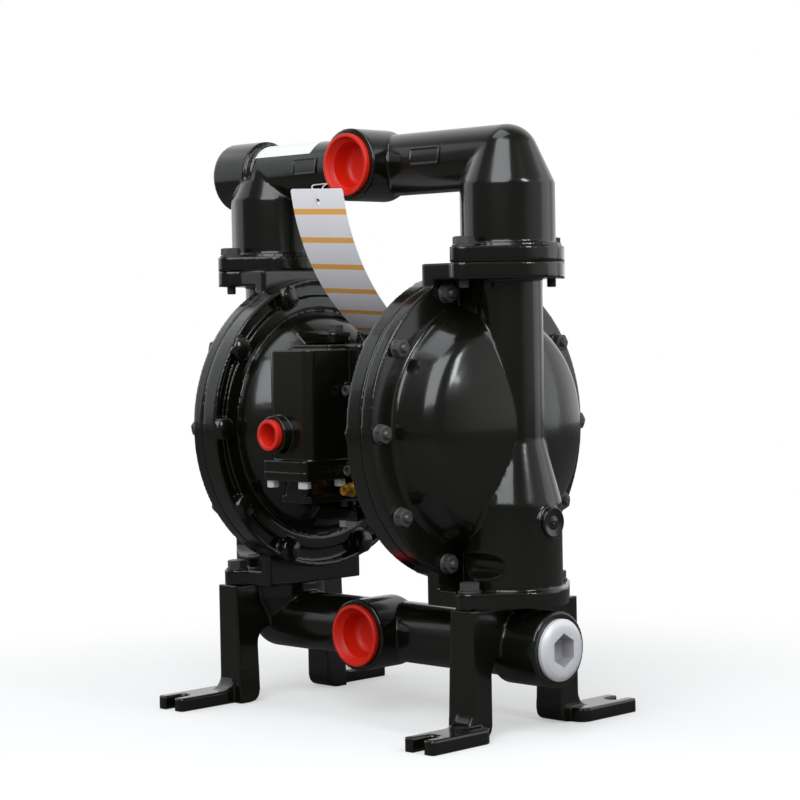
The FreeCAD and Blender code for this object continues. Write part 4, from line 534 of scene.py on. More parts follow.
@dataclass
class Turning:
    """Closed solid made of rings round its own Z axis, from its bottom pole to its top pole."""

    steps: int = 72
    rings: list[Ring] = field(default_factory=list)

    def round(self, radius: float, height: float) -> Turning:
        """Add a round ring, or a pole where the radius is zero."""
        count = self.steps if radius > 0 else 1
        turns = [math.tau * k / self.steps for k in range(count)]
        self.rings.append([Vector((radius * math.cos(a), radius * math.sin(a), height)) for a in turns])
        return self

    def profile(self, *points: tuple[float, float]) -> Turning:
        """Add a round ring for each radius and height, both in millimetres."""
        for radius, height in points:
            self.round(radius * MM, height * MM)
        return self

    def hexed(self, flats: float, height: float, start: float = 1.0, slope: float = 0.0) -> Turning:
        """Add a hexagonal ring whose corners fall off outside a chamfer circle.

        Args:
            flats: half the size across the flats.
            height: height of the ring.
            start: radius where the chamfer starts.
            slope: fall of the chamfer for each unit of radius.

        Returns:
            The same turning.
        """
        ring = []
        for k in range(self.steps):
            angle = math.tau * k / self.steps
            reach = flats / math.cos((angle + math.pi / 6) % (math.pi / 3) - math.pi / 6)
            fall = slope * max(0.0, reach - start)
            ring.append(Vector((reach * math.cos(angle), reach * math.sin(angle), height - fall)))
        self.rings.append(ring)
        return self

    def corner(self, radius: float, height: float, rounding: float, start: float, end: float) -> Turning:
        """Add the rings round a corner, as arc gives them."""
        for ring in arc(radius, height, rounding, start, end):
            self.round(*ring)
        return self

    def thread(self, radius: float, start: float, end: float, pitch: float) -> Turning:
        """Add the ridges of a thread between two heights, half as deep as its pitch."""
        root = radius - 0.5 * pitch
        count = max(1, round(abs(end - start) / pitch))
        for k in range(count):
            self.round(root, start + (end - start) * k / count)
            self.round(radius, start + (end - start) * (k + 0.5) / count)
        return self.round(root, end)

    def mesh(self, name: str, placement: Matrix | None = None) -> Mesh:
        """Join the rings to a closed mesh.

        Args:
            name: name of the mesh.
            placement: where it goes, if not at the origin.

        Returns:
            The mesh, with its faces outwards.
        """
        work = bmesh.new()
        rings = [[work.verts.new(point) for point in ring] for ring in self.rings]
        for low, high in zip(rings, rings[1:]):
            for k in range(self.steps):
                after = k + 1
                corners = [
                    low[k % len(low)],
                    low[after % len(low)],
                    high[after % len(high)],
                    high[k % len(high)],
                ]
                unique = list(dict.fromkeys(corners))
                if len(unique) > 2:
                    work.faces.new(unique)
        if placement is not None:
            bmesh.ops.transform(work, matrix=placement, verts=work.verts)
        return to_mesh(name, work)


def joined(name: str, *meshes: Mesh) -> Mesh:
    """Put several meshes into one."""
    work = bmesh.new()
    for mesh in meshes:
        work.from_mesh(mesh)
    whole = bpy.data.meshes.new(name)
    work.to_mesh(whole)
    work.free()
    return whole


def loose_boxes(node: bpy.types.Object) -> list[tuple[Vector, Vector]]:
    """Measure each separate solid of a CAD node.

    Args:
        node: CAD object.

    Returns:
        Lowest and highest corner of each solid.
    """
    work = bmesh.new()
    work.from_mesh(node.data)
    bmesh.ops.remove_doubles(work, verts=work.verts, dist=WELD)
    left = set(work.verts)
    boxes = []
    while left:
        heap = [left.pop()]
        solid = []
        while heap:
            vert = heap.pop()
            solid.append(vert.co.copy())
            for edge in vert.link_edges:
                other = edge.other_vert(vert)
                if other in left:
                    left.remove(other)
                    heap.append(other)
        low = Vector([min(point[axis] for point in solid) for axis in range(3)])
        high = Vector([max(point[axis] for point in solid) for axis in range(3)])
        boxes.append((low, high))
    work.free()
    return boxes


# Castings


@dataclass
class Castings:
    """Cast housings: each solid's mesh gets a fine skin with softened edges."""

    shop: Workshop
    grid: float = 1.87 * MM
    coarse_grid: float = 4.0 * MM
    small: float = 150.0 * MM
    small_share: float = 0.55
    depth_share: float = 0.95
    easing: int = 3
    ease_factor: float = 0.5
    outlet_height: float = 521.0 * MM
    neck: Pair = (33.5 * MM, 31.2 * MM)
    neck_slack: float = 0.05 * MM
    neck_end: float = -100.0 * MM
    names: dict[str, str] = field(
        default_factory=lambda: {
            "upper_manifold": "outlet_casting",
            "lower_manifold": "inlet_casting",
            "fluid_cap_right": "fluid_chamber_right",
            "fluid_cap_left": "fluid_chamber_left",
            "air_cap_right": "air_chamber_right",
            "air_cap_left": "air_chamber_left",
            "motor_body": "motor_casting",
            "valve_block": "valve_casting",
            "valve_end_cap": "valve_end_casting",
        }
    )

    def waist(self, work: bmesh.types.BMesh) -> None:
        """Draw in the neck behind the outlet's end boss, as the real one is.

        Args:
            work: mesh of the outlet casting.
        """
        solid, drawn = self.neck
        for vert in work.verts:
            out = Vector((0, vert.co.y, vert.co.z - self.outlet_height))
            if vert.co.x < self.neck_end and abs(out.length - solid) < self.neck_slack:
                vert.co += out * (drawn / solid - 1)

    def skin(self, node: str, name: str) -> Mesh:
        """Remesh a casting finely, with its vertices on the solid's creases, and ease its edges.

        Args:
            node: CAD node of the casting.
            name: name of the piece.

        Returns:
            The cast skin.
        """
        low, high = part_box(node)
        work = bmesh.new()
        work.from_mesh(self.shop.node(node).data)
        bmesh.ops.remove_doubles(work, verts=work.verts, dist=WELD)
        if node == "upper_manifold":
            self.waist(work)
        mesh = bpy.data.meshes.new(f"{name}_rough")
        work.to_mesh(mesh)
        work.free()
        rough = placed(f"{name}_rough", mesh)
        remesh = rough.modifiers.new("Skin", "REMESH")
        remesh.mode = "SHARP"
        remesh.use_remove_disconnected = False
        longest = max(high[axis] - low[axis] for axis in range(3))
        share = self.small_share if longest < self.small else 1.0
        cell = self.grid * share
        remesh.octree_depth = math.ceil(math.log2(longest / (self.depth_share * cell)))
        remesh.scale = longest / (cell * 2**remesh.octree_depth)
        ease = rough.modifiers.new("Ease", "SMOOTH")
        ease.factor = self.ease_factor
        ease.iterations = self.easing
        skin = evaluated(rough)
        bpy.data.objects.remove(rough)
        return skin

    def build(self) -> None:
        """Make every casting."""
        for node, name in self.names.items():
            self.shop.seat(name, self.skin(node, name), Coat.ENAMEL, (node,))


# Fasteners


@dataclass
class FastenerArray:
    """Geometry Nodes tree that sets one fastener at each marked place, turned about its own axis."""

    seed: int = 7
    twist: float = math.radians(60)
    sockets: dict[str, str] = field(
        default_factory=lambda: {
            "Places": "Geometry",
            "Fastener": "Object",
            "Finish": "Material",
            "Twist": "Float",
            "Seed": "Int",
        }
    )

    def tree(self) -> Tree:
        """Build the node tree, with named inputs for the fastener, its finish and its turn."""
        tree = bpy.data.node_groups.new("fastener_array", "GeometryNodeTree")
        face = tree.interface
        for label, kind in self.sockets.items():
            face.new_socket(label, in_out="INPUT", socket_type=f"NodeSocket{kind}")
        face.new_socket("Fasteners", in_out="OUTPUT", socket_type="NodeSocketGeometry")
        given = add(tree, "NodeGroupInput").outputs
        axis = add(tree, "GeometryNodeInputNamedAttribute", {"Name": "axis"}, data_type="FLOAT_VECTOR")
        aim = add(
            tree, "FunctionNodeAlignRotationToVector", {"Vector": axis.outputs["Attribute"]}, axis="Z"
        )
        part = add(tree, "GeometryNodeObjectInfo", {"Object": given["Fastener"]})
        spread = add(
            tree,
            "GeometryNodeInstanceOnPoints",
            {
                "Points": given["Places"],
                "Instance": part.outputs["Geometry"],
                "Rotation": aim.outputs["Rotation"],
            },
        )
        # The float pair of the random value's sockets: its highest value, and its result
        highest, drawn = 3, 1
        chance = add(
            tree,
            "FunctionNodeRandomValue",
            {highest: given["Twist"], "Seed": given["Seed"]},
            data_type="FLOAT",
        )
        spin = add(tree, "ShaderNodeCombineXYZ", {"Z": chance.outputs[drawn]})
        turned = add(
            tree,
            "GeometryNodeRotateInstances",
            {
                "Instances": spread.outputs["Instances"],
                "Rotation": spin.outputs["Vector"],
                "Local Space": True,
            },
        )
        real = add(tree, "GeometryNodeRealizeInstances", {"Geometry": turned.outputs["Instances"]})
        painted = add(
            tree,
            "GeometryNodeSetMaterial",
            {"Geometry": real.outputs["Geometry"], "Material": given["Finish"]},
        )
        add(tree, "NodeGroupOutput", {"Fasteners": painted.outputs["Geometry"]})
        return tree

    def build(
        self,
        name: str,
        part: Mesh,
        places: list[tuple[Vector, Facing]],
        finish: bpy.types.Material,
    ) -> Mesh:
        """Set a fastener at each place.

        Args:
            name: name of the array.
            part: mesh of one fastener, standing on its own Z.
            places: point and facing of each fastener.
            finish: their material.

        Returns:
            All the fasteners as one mesh.
        """
        marks = bpy.data.meshes.new(f"{name}_places")
        marks.from_pydata([tuple(at) for at, _ in places], [], [])
        axes = marks.attributes.new("axis", "FLOAT_VECTOR", "POINT")
        for number, (_, facing) in enumerate(places):
            axes.data[number].vector = facing.value
        model = placed(f"{name}_model", part)
        holder = placed(f"{name}_holder", marks)
        tree = self.tree()
        modifier = holder.modifiers.new("Fasteners", "NODES")
        modifier.node_group = tree
        values = {"Fastener": model, "Finish": finish, "Twist": self.twist, "Seed": self.seed}
        for socket in tree.interface.items_tree:
            if socket.in_out == "INPUT" and socket.name in values:
                modifier[socket.identifier] = values[socket.name]
        holder.update_tag()
        mesh = evaluated(holder)
        for item in (model, holder):
            bpy.data.objects.remove(item)
        bpy.data.node_groups.remove(tree)
        return mesh


@dataclass(frozen=True)
class Bolt:
    """A bolt's sizes: half its width across the flats, the height of its head, its shank's radius."""

    flats: float
    head: float
    shank: float


@dataclass
class Fasteners:
    """Flange nuts, studs, hex bolts, washers and socket screws."""

    shop: Workshop
    array: FastenerArray = field(default_factory=FastenerArray)
    steps: int = 60
    pitch: float = 1.25 * MM
    nut_flats: float = 7.5 * MM
    nut_flange: float = 9.25 * MM
    nut_rim: float = 0.5 * MM
    nut_foot: Pair = (1.9 * MM, 2.1 * MM)
    nut_chamfer: float = 0.15 * MM
    nut_sink: float = 0.5 * MM
    stud_radius: float = 4.0 * MM
    stud_steps: int = 36
    stud_turns: int = 6
    stud_tip: float = 0.8 * MM
    stud_chamfer: float = 1.1 * MM
    joint_bolt: Bolt = Bolt(8.5 * MM, 7.5 * MM, 4.5 * MM)
    lug_bolt: Bolt = Bolt(6.75 * MM, 7.0 * MM, 4.0 * MM)
    end_bolt: Bolt = Bolt(5.0 * MM, 6.9 * MM, 3.0 * MM)
    bolt_tip: float = 0.8 * MM
    bolt_thread: Pair = (0.7 * MM, 10.7 * MM)
    bolt_runout: float = 0.5 * MM
    bolt_foot: Pair = (0.3 * MM, 0.5 * MM)
    bolt_chamfer: float = 0.1 * MM
    bolt_sink: Pair = (0.12 * MM, 0.2 * MM)
    washer_rim: float = 0.3 * MM
    washer_bore: float = 4.6 * MM
    socket_radius: float = 5.0 * MM
    socket_rim: float = 0.6 * MM
    socket_chamfer: float = 0.4 * MM
    socket_screw: Bolt = Bolt(2.5 * MM, 6.0 * MM, 3.0 * MM)

    def flange_nut(self, depth: float) -> Mesh:
        """Hex nut on a round flange, chamfered and sunk at its top.

        Args:
            depth: height of the nut.

        Returns:
            Mesh of one nut.
        """
        flats, rim = self.nut_flats, self.nut_rim
        inset = self.nut_flange - rim
        foot, base = self.nut_foot
        turning = Turning(self.steps).round(0, 0).round(inset, 0).corner(inset, rim, rim, -90, 60)
        turning.round(flats * 1.02, foot).hexed(flats, base)
        turning.hexed(flats, depth - self.nut_chamfer, flats * 0.97, 0.45)
        turning.round(flats * 0.94, depth).round(flats * 0.62, depth)
        turning.round(flats * 0.56, depth - self.nut_sink)
        return turning.round(0, depth - self.nut_sink).mesh("flange_nut")

    def stud(self, length: float) -> Mesh:
        """Stud with a threaded and chamfered tip.

        Args:
            length: its length.

        Returns:
            Mesh of one stud, from its inner end.
        """
        radius = self.stud_radius
        start = length - self.stud_turns * self.pitch
        turning = Turning(self.stud_steps).round(0, 0).round(radius, 0).round(radius, start)
        turning.thread(radius, start, length - self.stud_tip, self.pitch)
        return turning.round(radius - self.stud_chamfer, length).round(0, length).mesh("stud")

    def hex_bolt(self, bolt: Bolt, length: float) -> Mesh:
        """Hex bolt: a chamfered bare head over its shank, with a threaded end.

        Args:
            bolt: its sizes.
            length: length under the head.

        Returns:
            Mesh of one bolt, with the underside of its head at zero.
        """
        flats, head, radius, end = bolt.flats, bolt.head, bolt.shank, -length
        start, stop = self.bolt_thread
        turning = Turning(self.steps).round(0, end).round(radius - self.bolt_tip, end)
        turning.thread(radius, end + start, end + stop, self.pitch)
        turning.round(radius, end + stop + self.bolt_runout).round(radius, 0)
        turning.round(flats * 0.94, 0).round(flats * 0.95, self.bolt_foot[0])
        turning.hexed(flats, self.bolt_foot[1]).hexed(flats, head - self.bolt_chamfer, flats * 0.96, 0.5)
        turning.round(flats * 0.92, head).round(flats * 0.6, head - self.bolt_sink[0])
        return turning.round(0, head - self.bolt_sink[1]).mesh("hex_bolt")

    def washer(self, radius: float, depth: float) -> Mesh:
        """Flat washer with a rolled outer edge, with its top at zero."""
        rim, bore = self.washer_rim, self.washer_bore
        inset = radius - rim
        turning = Turning(self.steps).round(bore, -depth).round(inset, -depth)
        turning.corner(inset, rim - depth, rim, -90, 0).corner(inset, -rim, rim, 0, 90)
        return turning.round(bore, 0).round(bore, -depth).mesh("washer")

    def block_screw(self, length: float) -> Mesh:
        """Socket head screw with a hexagonal recess.

        Args:
            length: length under the head.

        Returns:
            Mesh of one screw, with the underside of its head at zero.
        """
        flats, head, shank = self.socket_screw.flats, self.socket_screw.head, self.socket_screw.shank
        rim = self.socket_rim
        turning = Turning(self.steps).round(0, -length).round(shank, -length).round(shank, 0)
        turning.round(self.socket_radius, 0).corner(self.socket_radius - rim, head - rim, rim, 0, 90)
        turning.round(flats * 1.25, head).hexed(flats, head - self.socket_chamfer)
        return turning.hexed(flats, head * 0.5).round(0, head * 0.5).mesh("socket_screw")

    def spread(
        self, name: str, node: str, model: Mesh, places: list[tuple[Vector, Facing]], coat: Coat
    ) -> None:
        """Replace a CAD node by one fastener at each of its places.

        Args:
            name: name of the piece.
            node: CAD node of the fasteners.
            model: mesh of one fastener.
            places: point and facing of each.
            coat: their finish.
        """
        mesh = self.array.build(name, model, places, self.shop.materials[coat])
        self.shop.seat(name, mesh, coat, (node,))

    def place_bolts(self, name: str, node: str, facing: Facing, bolt: Bolt, coat: Coat) -> None:
        """Replace the hex bolts of a CAD node.

        Args:
            name: name of the piece.
            node: CAD node of the bolts.
            facing: way that the heads face.
            bolt: their sizes.
            coat: their finish.
        """
        boxes = loose_boxes(self.shop.node(node))
        length = boxes[0][1].z - boxes[0][0].z - bolt.head
        places = []
        for low, high in boxes:
            middle = (low + high) / 2
            middle.z = high.z - bolt.head if facing is Facing.UP else low.z + bolt.head
            places.append((middle, facing))
        self.spread(name, node, self.hex_bolt(bolt, length), places, coat)

    def place_washers(self, name: str, node: str, coat: Coat) -> None:
        """Replace the washers of a CAD node."""
        boxes = loose_boxes(self.shop.node(node))
        low, high = boxes[0]
        washer = self.washer((high.x - low.x) / 2, high.z - low.z)
        places = [(Vector(((a.x + b.x) / 2, (a.y + b.y) / 2, b.z)), Facing.UP) for a, b in boxes]
        self.spread(name, node, washer, places, coat)

    def outwards(self, node: str) -> list[tuple[Vector, Facing]]:
        """Find the inner end of each solid along X, and the side that it faces."""
        places = []
        for low, high in loose_boxes(self.shop.node(node)):
            middle = (low + high) / 2
            facing = Facing.RIGHT if middle.x > 0 else Facing.LEFT
            middle.x = low.x if middle.x > 0 else high.x
            places.append((middle, facing))
        return places

    def chamber_fasteners(self) -> None:
        """Make the flange nuts and the studs round both chambers."""
        for name, node, model in (
            ("flange_nuts", "chamber_nuts", self.flange_nut),
            ("threaded_studs", "chamber_studs", self.stud),
        ):
            longest = max(high.x - low.x for low, high in loose_boxes(self.shop.node(node)))
            self.spread(name, node, model(longest), self.outwards(node), Coat.BLACK_OXIDE)

    def block_screws(self) -> None:
        """Make the socket screws of the valve block."""
        head = self.socket_screw.head
        boxes = loose_boxes(self.shop.node("valve_block_screws"))
        screw = self.block_screw(boxes[0][1].y - boxes[0][0].y - head)
        places = [(Vector(((a.x + b.x) / 2, a.y + head, (a.z + b.z) / 2)), Facing.FRONT) for a, b in boxes]
        self.spread("valve_socket_screws", "valve_block_screws", screw, places, Coat.BLACK_OXIDE)

    def build(self) -> None:
        """Make every fastener."""
        up, down, black, zinc = Facing.UP, Facing.DOWN, Coat.BLACK_OXIDE, Coat.ZINC
        self.chamber_fasteners()
        self.place_bolts("outlet_joint_bolts", "outlet_bolts", up, self.joint_bolt, black)
        self.place_bolts("inlet_joint_bolts", "inlet_bolts", up, self.joint_bolt, black)
        self.place_bolts("upper_lug_screws", "upper_lug_bolts", up, self.lug_bolt, black)
        self.place_bolts("lower_lug_screws", "lower_lug_bolts", down, self.lug_bolt, zinc)
        self.place_bolts("valve_end_screws", "end_cap_screws", down, self.end_bolt, zinc)
        self.place_washers("outlet_joint_washers", "outlet_washers", black)
        self.place_washers("inlet_joint_washers", "inlet_washers", black)
        self.block_screws()


# Plugs, fitting and dust caps


def middle_of(node: str) -> Vector:
    """Centre of a node's box."""
    low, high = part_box(node)
    return (Vector(low) + Vector(high)) / 2


@dataclass(frozen=True)
class Plug:
    """Turned plug in a port that opens along X, made of rings with radii and heights in millimetres.

    The shank's heights start at its inner end, and all others at the plane where it leaves its seat.
    The rings of its hex socket, if it has one, have heights alone.
    """

    name: str
    node: str
    coat: Coat
    steps: int
    rise: float
    shank: Profile
    outside: Profile
    flats: float = 0.0
    socket: tuple[float, ...] = ()
    inside: Profile = ()

    def mesh(self, low: Vector, high: Vector) -> Mesh:
        """Make one plug.

        Args:
            low: lowest corner of its solid.
            high: highest corner of its solid.

        Returns:
            Mesh of the plug, in place.
        """
        at = (Vector(low) + Vector(high)) / 2
        facing = Facing.RIGHT if at.x > 0 else Facing.LEFT
        at.x = high[0] - self.rise * MM if at.x > 0 else low[0] + self.rise * MM
        bite = (high[0] - low[0]) / MM - self.rise
        turning = Turning(self.steps).profile(*((radius, height - bite) for radius, height in self.shank))
        turning.profile(*self.outside)
        for height in self.socket:
            turning.hexed(self.flats * MM, height * MM)
        return turning.profile(*self.inside).mesh(self.name, facing.matrix(at))


PLUGS = (
    # Turned aluminium plug with a sloped rim and a deep hex socket
    Plug(
        "shouldered_plug",
        "end_plug",
        Coat.ALUMINIUM,
        steps=120,
        rise=6.6,
        shank=((0, 0), (22.5, 0), (23.2, 1.0)),
        outside=(
            *((23.2, 0), (27.5, 0), (28.0, 0.5), (28.0, 3.66)),
            *((27.37, 4.5), (23.8, 6.18), (22.54, 6.6), (16.2, 6.6)),
        ),
        flats=13.5,
        socket=(6.6, 6.3, -7.4),
        inside=((6.75, -8.4), (0, -8.8)),
    ),
    # Black plug sunk in the outlet casting's end boss
    Plug(
        "sunk_plug",
        "blind_plug",
        Coat.BLACK_OXIDE,
        steps=96,
        rise=0.0,
        shank=((0, 0), (23.2, 0)),
        outside=((23.2, -1.2), (22.2, 0), (14.4, 0)),
        flats=12.0,
        socket=(-0.9, -10.0),
        inside=((0, -11.5),),
    ),
    # Round plugs on the lower columns, with a dished face and a centre mark
    Plug(
        "column_drain_plugs",
        "column_plugs",
        Coat.ENAMEL,
        steps=72,
        rise=3.5,
        shank=((0, 0), (8.0, 0)),
        outside=((8.0, 0), (13.4, 0), (13.8, 0.4), *arc(12.9, 2.6, 0.9, 0, 90), (11.4, 3.5), (10.6, 2.7)),
        inside=((2.4, 2.7), (1.8, 3.3), (1.4, 3.3), (0.9, 2.3), (0, 2.2)),
    ),
)


@dataclass
class BrassFitting:
    """Brass fitting: a hexagon, a collar and an open nose."""

    shop: Workshop
    base: float = -78.0 * MM
    shank: float = 4.5 * MM
    flats: float = 6.0 * MM
    # Heights of the hexagon's foot, the start of its top chamfer and its top
    hexagon: tuple[float, float, float] = (0.4 * MM, 5.9 * MM, 6.0 * MM)
    # Collar and nose: radius and distance from the base, in millimetres
    nose: Profile = (
        *((6.2, 6.0), (6.4, 6.3), (6.4, 7.7), (6.1, 8.0)),
        *((5.4, 8.1), (5.7, 8.9), (5.1, 10.6), (5.5, 11.4)),
    )
    # Mouth: radius and distance under the nose's end, in millimetres
    mouth: Profile = ((5.0, 1.1), (4.6, 0), (3.6, 0), (3.3, 0.5), (2.6, 9), (0, 9.6))

    def build(self) -> None:
        """Make the fitting under the valve block."""
        low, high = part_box("brass_fitting")
        at = middle_of("brass_fitting")
        at.y = self.base
        reach = self.base - low[1]
        bite = high[1] - self.base
        foot, chamfer, top = self.hexagon
        turning = Turning(60).round(0, -bite).round(self.shank, -bite).round(self.shank, 0)
        turning.round(self.flats * 0.96, 0).hexed(self.flats, foot)
        turning.hexed(self.flats, chamfer, self.flats * 0.97, 0.5).round(self.flats * 0.94, top)
        turning.profile(*self.nose)
        turning.profile(*((radius, reach / MM - under) for radius, under in self.mouth))
        mesh = turning.mesh("brass_nose", Facing.FRONT.matrix(at))
        self.shop.seat("brass_nose", mesh, Coat.BRASS, ("brass_fitting",))


@dataclass
class DustCap:
    """Moulded push-in cap: a thin rolled rim, a flared mouth and a drafted cup with a rounded floor."""

    shop: Workshop
    node: str
    rise: float
    cup: float
    roll: float
    lip: float = 3.5 * MM
    wall: float = 1.6 * MM
    # Bevel of the cup's closed end: inwards at the end, inwards at its top, and its height
    bevel: tuple[float, float, float] = (1.6 * MM, 0.4 * MM, 1.2 * MM)
    relief: float = 1.0 * MM
    # Edge of the mouth, its flare and the share of the rise where the flare ends
    mouth_edge: float = 0.5 * MM
    flare: float = 0.8 * MM
    flare_share: float = 0.45
    draft: float = 2.0 * MM
    bowl_share: float = 0.3
    bowl_steps: int = 8

    def build(self) -> None:
        """Make the cap in its port."""
        low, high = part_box(self.node)
        at = (Vector(low) + Vector(high)) / 2
        rim = (high[0] - low[0]) / 2
        bite = high[1] - low[1] - self.rise
        at.y = low[1] + self.rise
        cup, roll, rise = self.cup, self.roll, self.rise
        mouth = rim - self.lip
        inner = cup - self.wall
        floor = self.wall - bite
        bowl = self.bowl_share * inner
        end, top, height = self.bevel
        turning = Turning(120).round(0, -bite).round(cup - end, -bite).round(cup - top, height - bite)
        turning.round(cup, -self.relief).round(cup, 0)
        turning.round(rim - roll, 0).corner(rim - roll, roll, roll, -90, 0)
        turning.corner(rim - roll, rise - roll, roll, 0, 90).round(mouth + self.mouth_edge, rise)
        turning.round(mouth, rise - self.mouth_edge).round(mouth - self.flare, self.flare_share * rise)
        turning.round(inner, -self.draft)
        for k in range(self.bowl_steps + 1):
            angle = math.radians(90 * k / self.bowl_steps)
            turning.round(inner - bowl * (1.2 - math.cos(angle)), floor + bowl * (1 - math.sin(angle)))
        turning.round(self.bowl_share * inner, floor)
        mesh = turning.round(0, floor).mesh(f"red_{self.node}", Facing.FRONT.matrix(at))
        self.shop.seat(f"red_{self.node}", mesh, Coat.RED_POLYETHYLENE, (self.node,))


@dataclass
class PortClosures:
    """All the plugs, the brass fitting and the three dust caps."""

    shop: Workshop

    def build(self) -> None:
        """Make them in order."""
        for plug in PLUGS:
            boxes = [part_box(plug.node)]
            if plug.node == "column_plugs":
                boxes = loose_boxes(self.shop.node(plug.node))
            whole = joined(plug.name, *(plug.mesh(low, high) for low, high in boxes))
            self.shop.seat(plug.name, whole, plug.coat, (plug.node,))
        BrassFitting(self.shop).build()
        for node in ("outlet_cap", "inlet_cap"):
            DustCap(self.shop, node, rise=5.0 * MM, cup=23.1 * MM, roll=1.0 * MM).build()
        DustCap(self.shop, "air_inlet_cap", rise=6.0 * MM, cup=10.35 * MM, roll=0.8 * MM).build()


# Tag, tie, label and badges


def drawn_in(corner: float, edge: float) -> float:
    """How far a rounded corner draws a border in, at a distance from the neighbouring edge."""
    if edge >= corner:
        return 0.0
    return corner - math.sqrt(max(0.0, corner**2 - (corner - edge) ** 2))


def closed_sheet(work: bmesh.types.BMesh, under: Grid, over: Grid) -> tuple[Faces, Faces, Faces]:
    """Join two layers of corners to a thin solid.

    Args:
        work: mesh that holds the corners.
        under: corners of the lower layer, column by column.
        over: corners of the upper layer, column by column.

    Returns:
        Faces of the lower layer, of the upper one and of the edge.
    """
    last, end = len(under) - 1, len(under[0]) - 1
    layers = [
        [
            work.faces.new((grid[i][j], grid[i + 1][j], grid[i + 1][j + 1], grid[i][j + 1]))
            for i in range(last)
            for j in range(end)
        ]
        for grid in (under, over)
    ]
    way = [(i, 0) for i in range(last)] + [(last, j) for j in range(end)]
    way += [(i, end) for i in range(last, 0, -1)] + [(0, j) for j in range(end, 0, -1)]
    edge = [
        work.faces.new((under[a][b], under[c][d], over[c][d], over[a][b]))
        for (a, b), (c, d) in zip(way, way[1:] + way[:1])
    ]
    return layers[0], layers[1], edge


@dataclass(frozen=True)
class PipePatch:
    """Thin patch that follows the outlet pipe along X, with rounded corners.

    It spans two places along X and leans from one angle to another, in degrees from the pipe's top
    towards the front. With a border, its middle is sunk to a share of its depth.
    """

    name: str
    coat: Coat
    span: Pair
    lean: Pair
    depth: float
    corner: float
    border: float = 0.0
    sunk_share: float = 0.35
    gap: float = 0.02 * MM
    pipe: float = 29.0 * MM
    pipe_height: float = 521.0 * MM
    columns: int = 60
    rows: int = 24

    def layer(self, work: bmesh.types.BMesh, height: float) -> Grid:
        """Add one layer of corners.

        Args:
            work: mesh that gets them.
            height: height of the layer above the pipe.

        Returns:
            The corners, column by column.
        """
        start, end = (self.pipe * math.radians(angle) for angle in self.lean)
        half = Vector(((self.span[1] - self.span[0]) / 2, (end - start) / 2))
        centre = Vector(((self.span[0] + self.span[1]) / 2, (start + end) / 2))
        grid = []
        for i in range(self.columns + 1):
            u = -1 + 2 * i / self.columns
            outer = half.x - abs(u) * half.x
            trim = drawn_in(self.corner, outer)
            line = []
            for j in range(self.rows + 1):
                v = (-1 + 2 * j / self.rows) * (half.y - trim)
                angle = (centre.y + v) / self.pipe
                inside = min(outer, half.y - abs(v)) > self.border > 0
                share = self.sunk_share if inside and height == self.depth else 1.0
                reach = self.pipe + share * height
                y, z = -reach * math.sin(angle), self.pipe_height + reach * math.cos(angle)
                line.append(work.verts.new((centre.x + u * half.x, y, z)))
            grid.append(line)
        return grid

    def mesh(self) -> Mesh:
        """Make the patch as a closed mesh."""
        work = bmesh.new()
        closed_sheet(work, self.layer(work, self.gap), self.layer(work, self.depth))
        return to_mesh(self.name, work)


@dataclass
class PipeTrim:
    """Bare film label on the outlet pipe, and the plain raised badges cast on it."""

    shop: Workshop
    label_span: Pair = (-161 * MM, -77 * MM)
    label_lean: Pair = (-54, 56)
    badge_spans: tuple[Pair, ...] = ((62 * MM, 100 * MM), (-97 * MM, -64 * MM))
    badge_lean: Pair = (66, 98)

    def build(self) -> None:
        """Make the label and both badges."""
        label = PipePatch(
            "bare_label", Coat.FILM, self.label_span, self.label_lean, depth=0.5 * MM, corner=2 * MM
        )
        badges = [
            PipePatch(
                name, Coat.ENAMEL, span, self.badge_lean, depth=1.3 * MM, corner=2.5 * MM, border=1.8 * MM
            )
            for name, span in zip(("badge_right", "badge_left"), self.badge_spans)
        ]
        for patch in (label, *badges):
            self.shop.seat(patch.name, patch.mesh(), patch.coat)


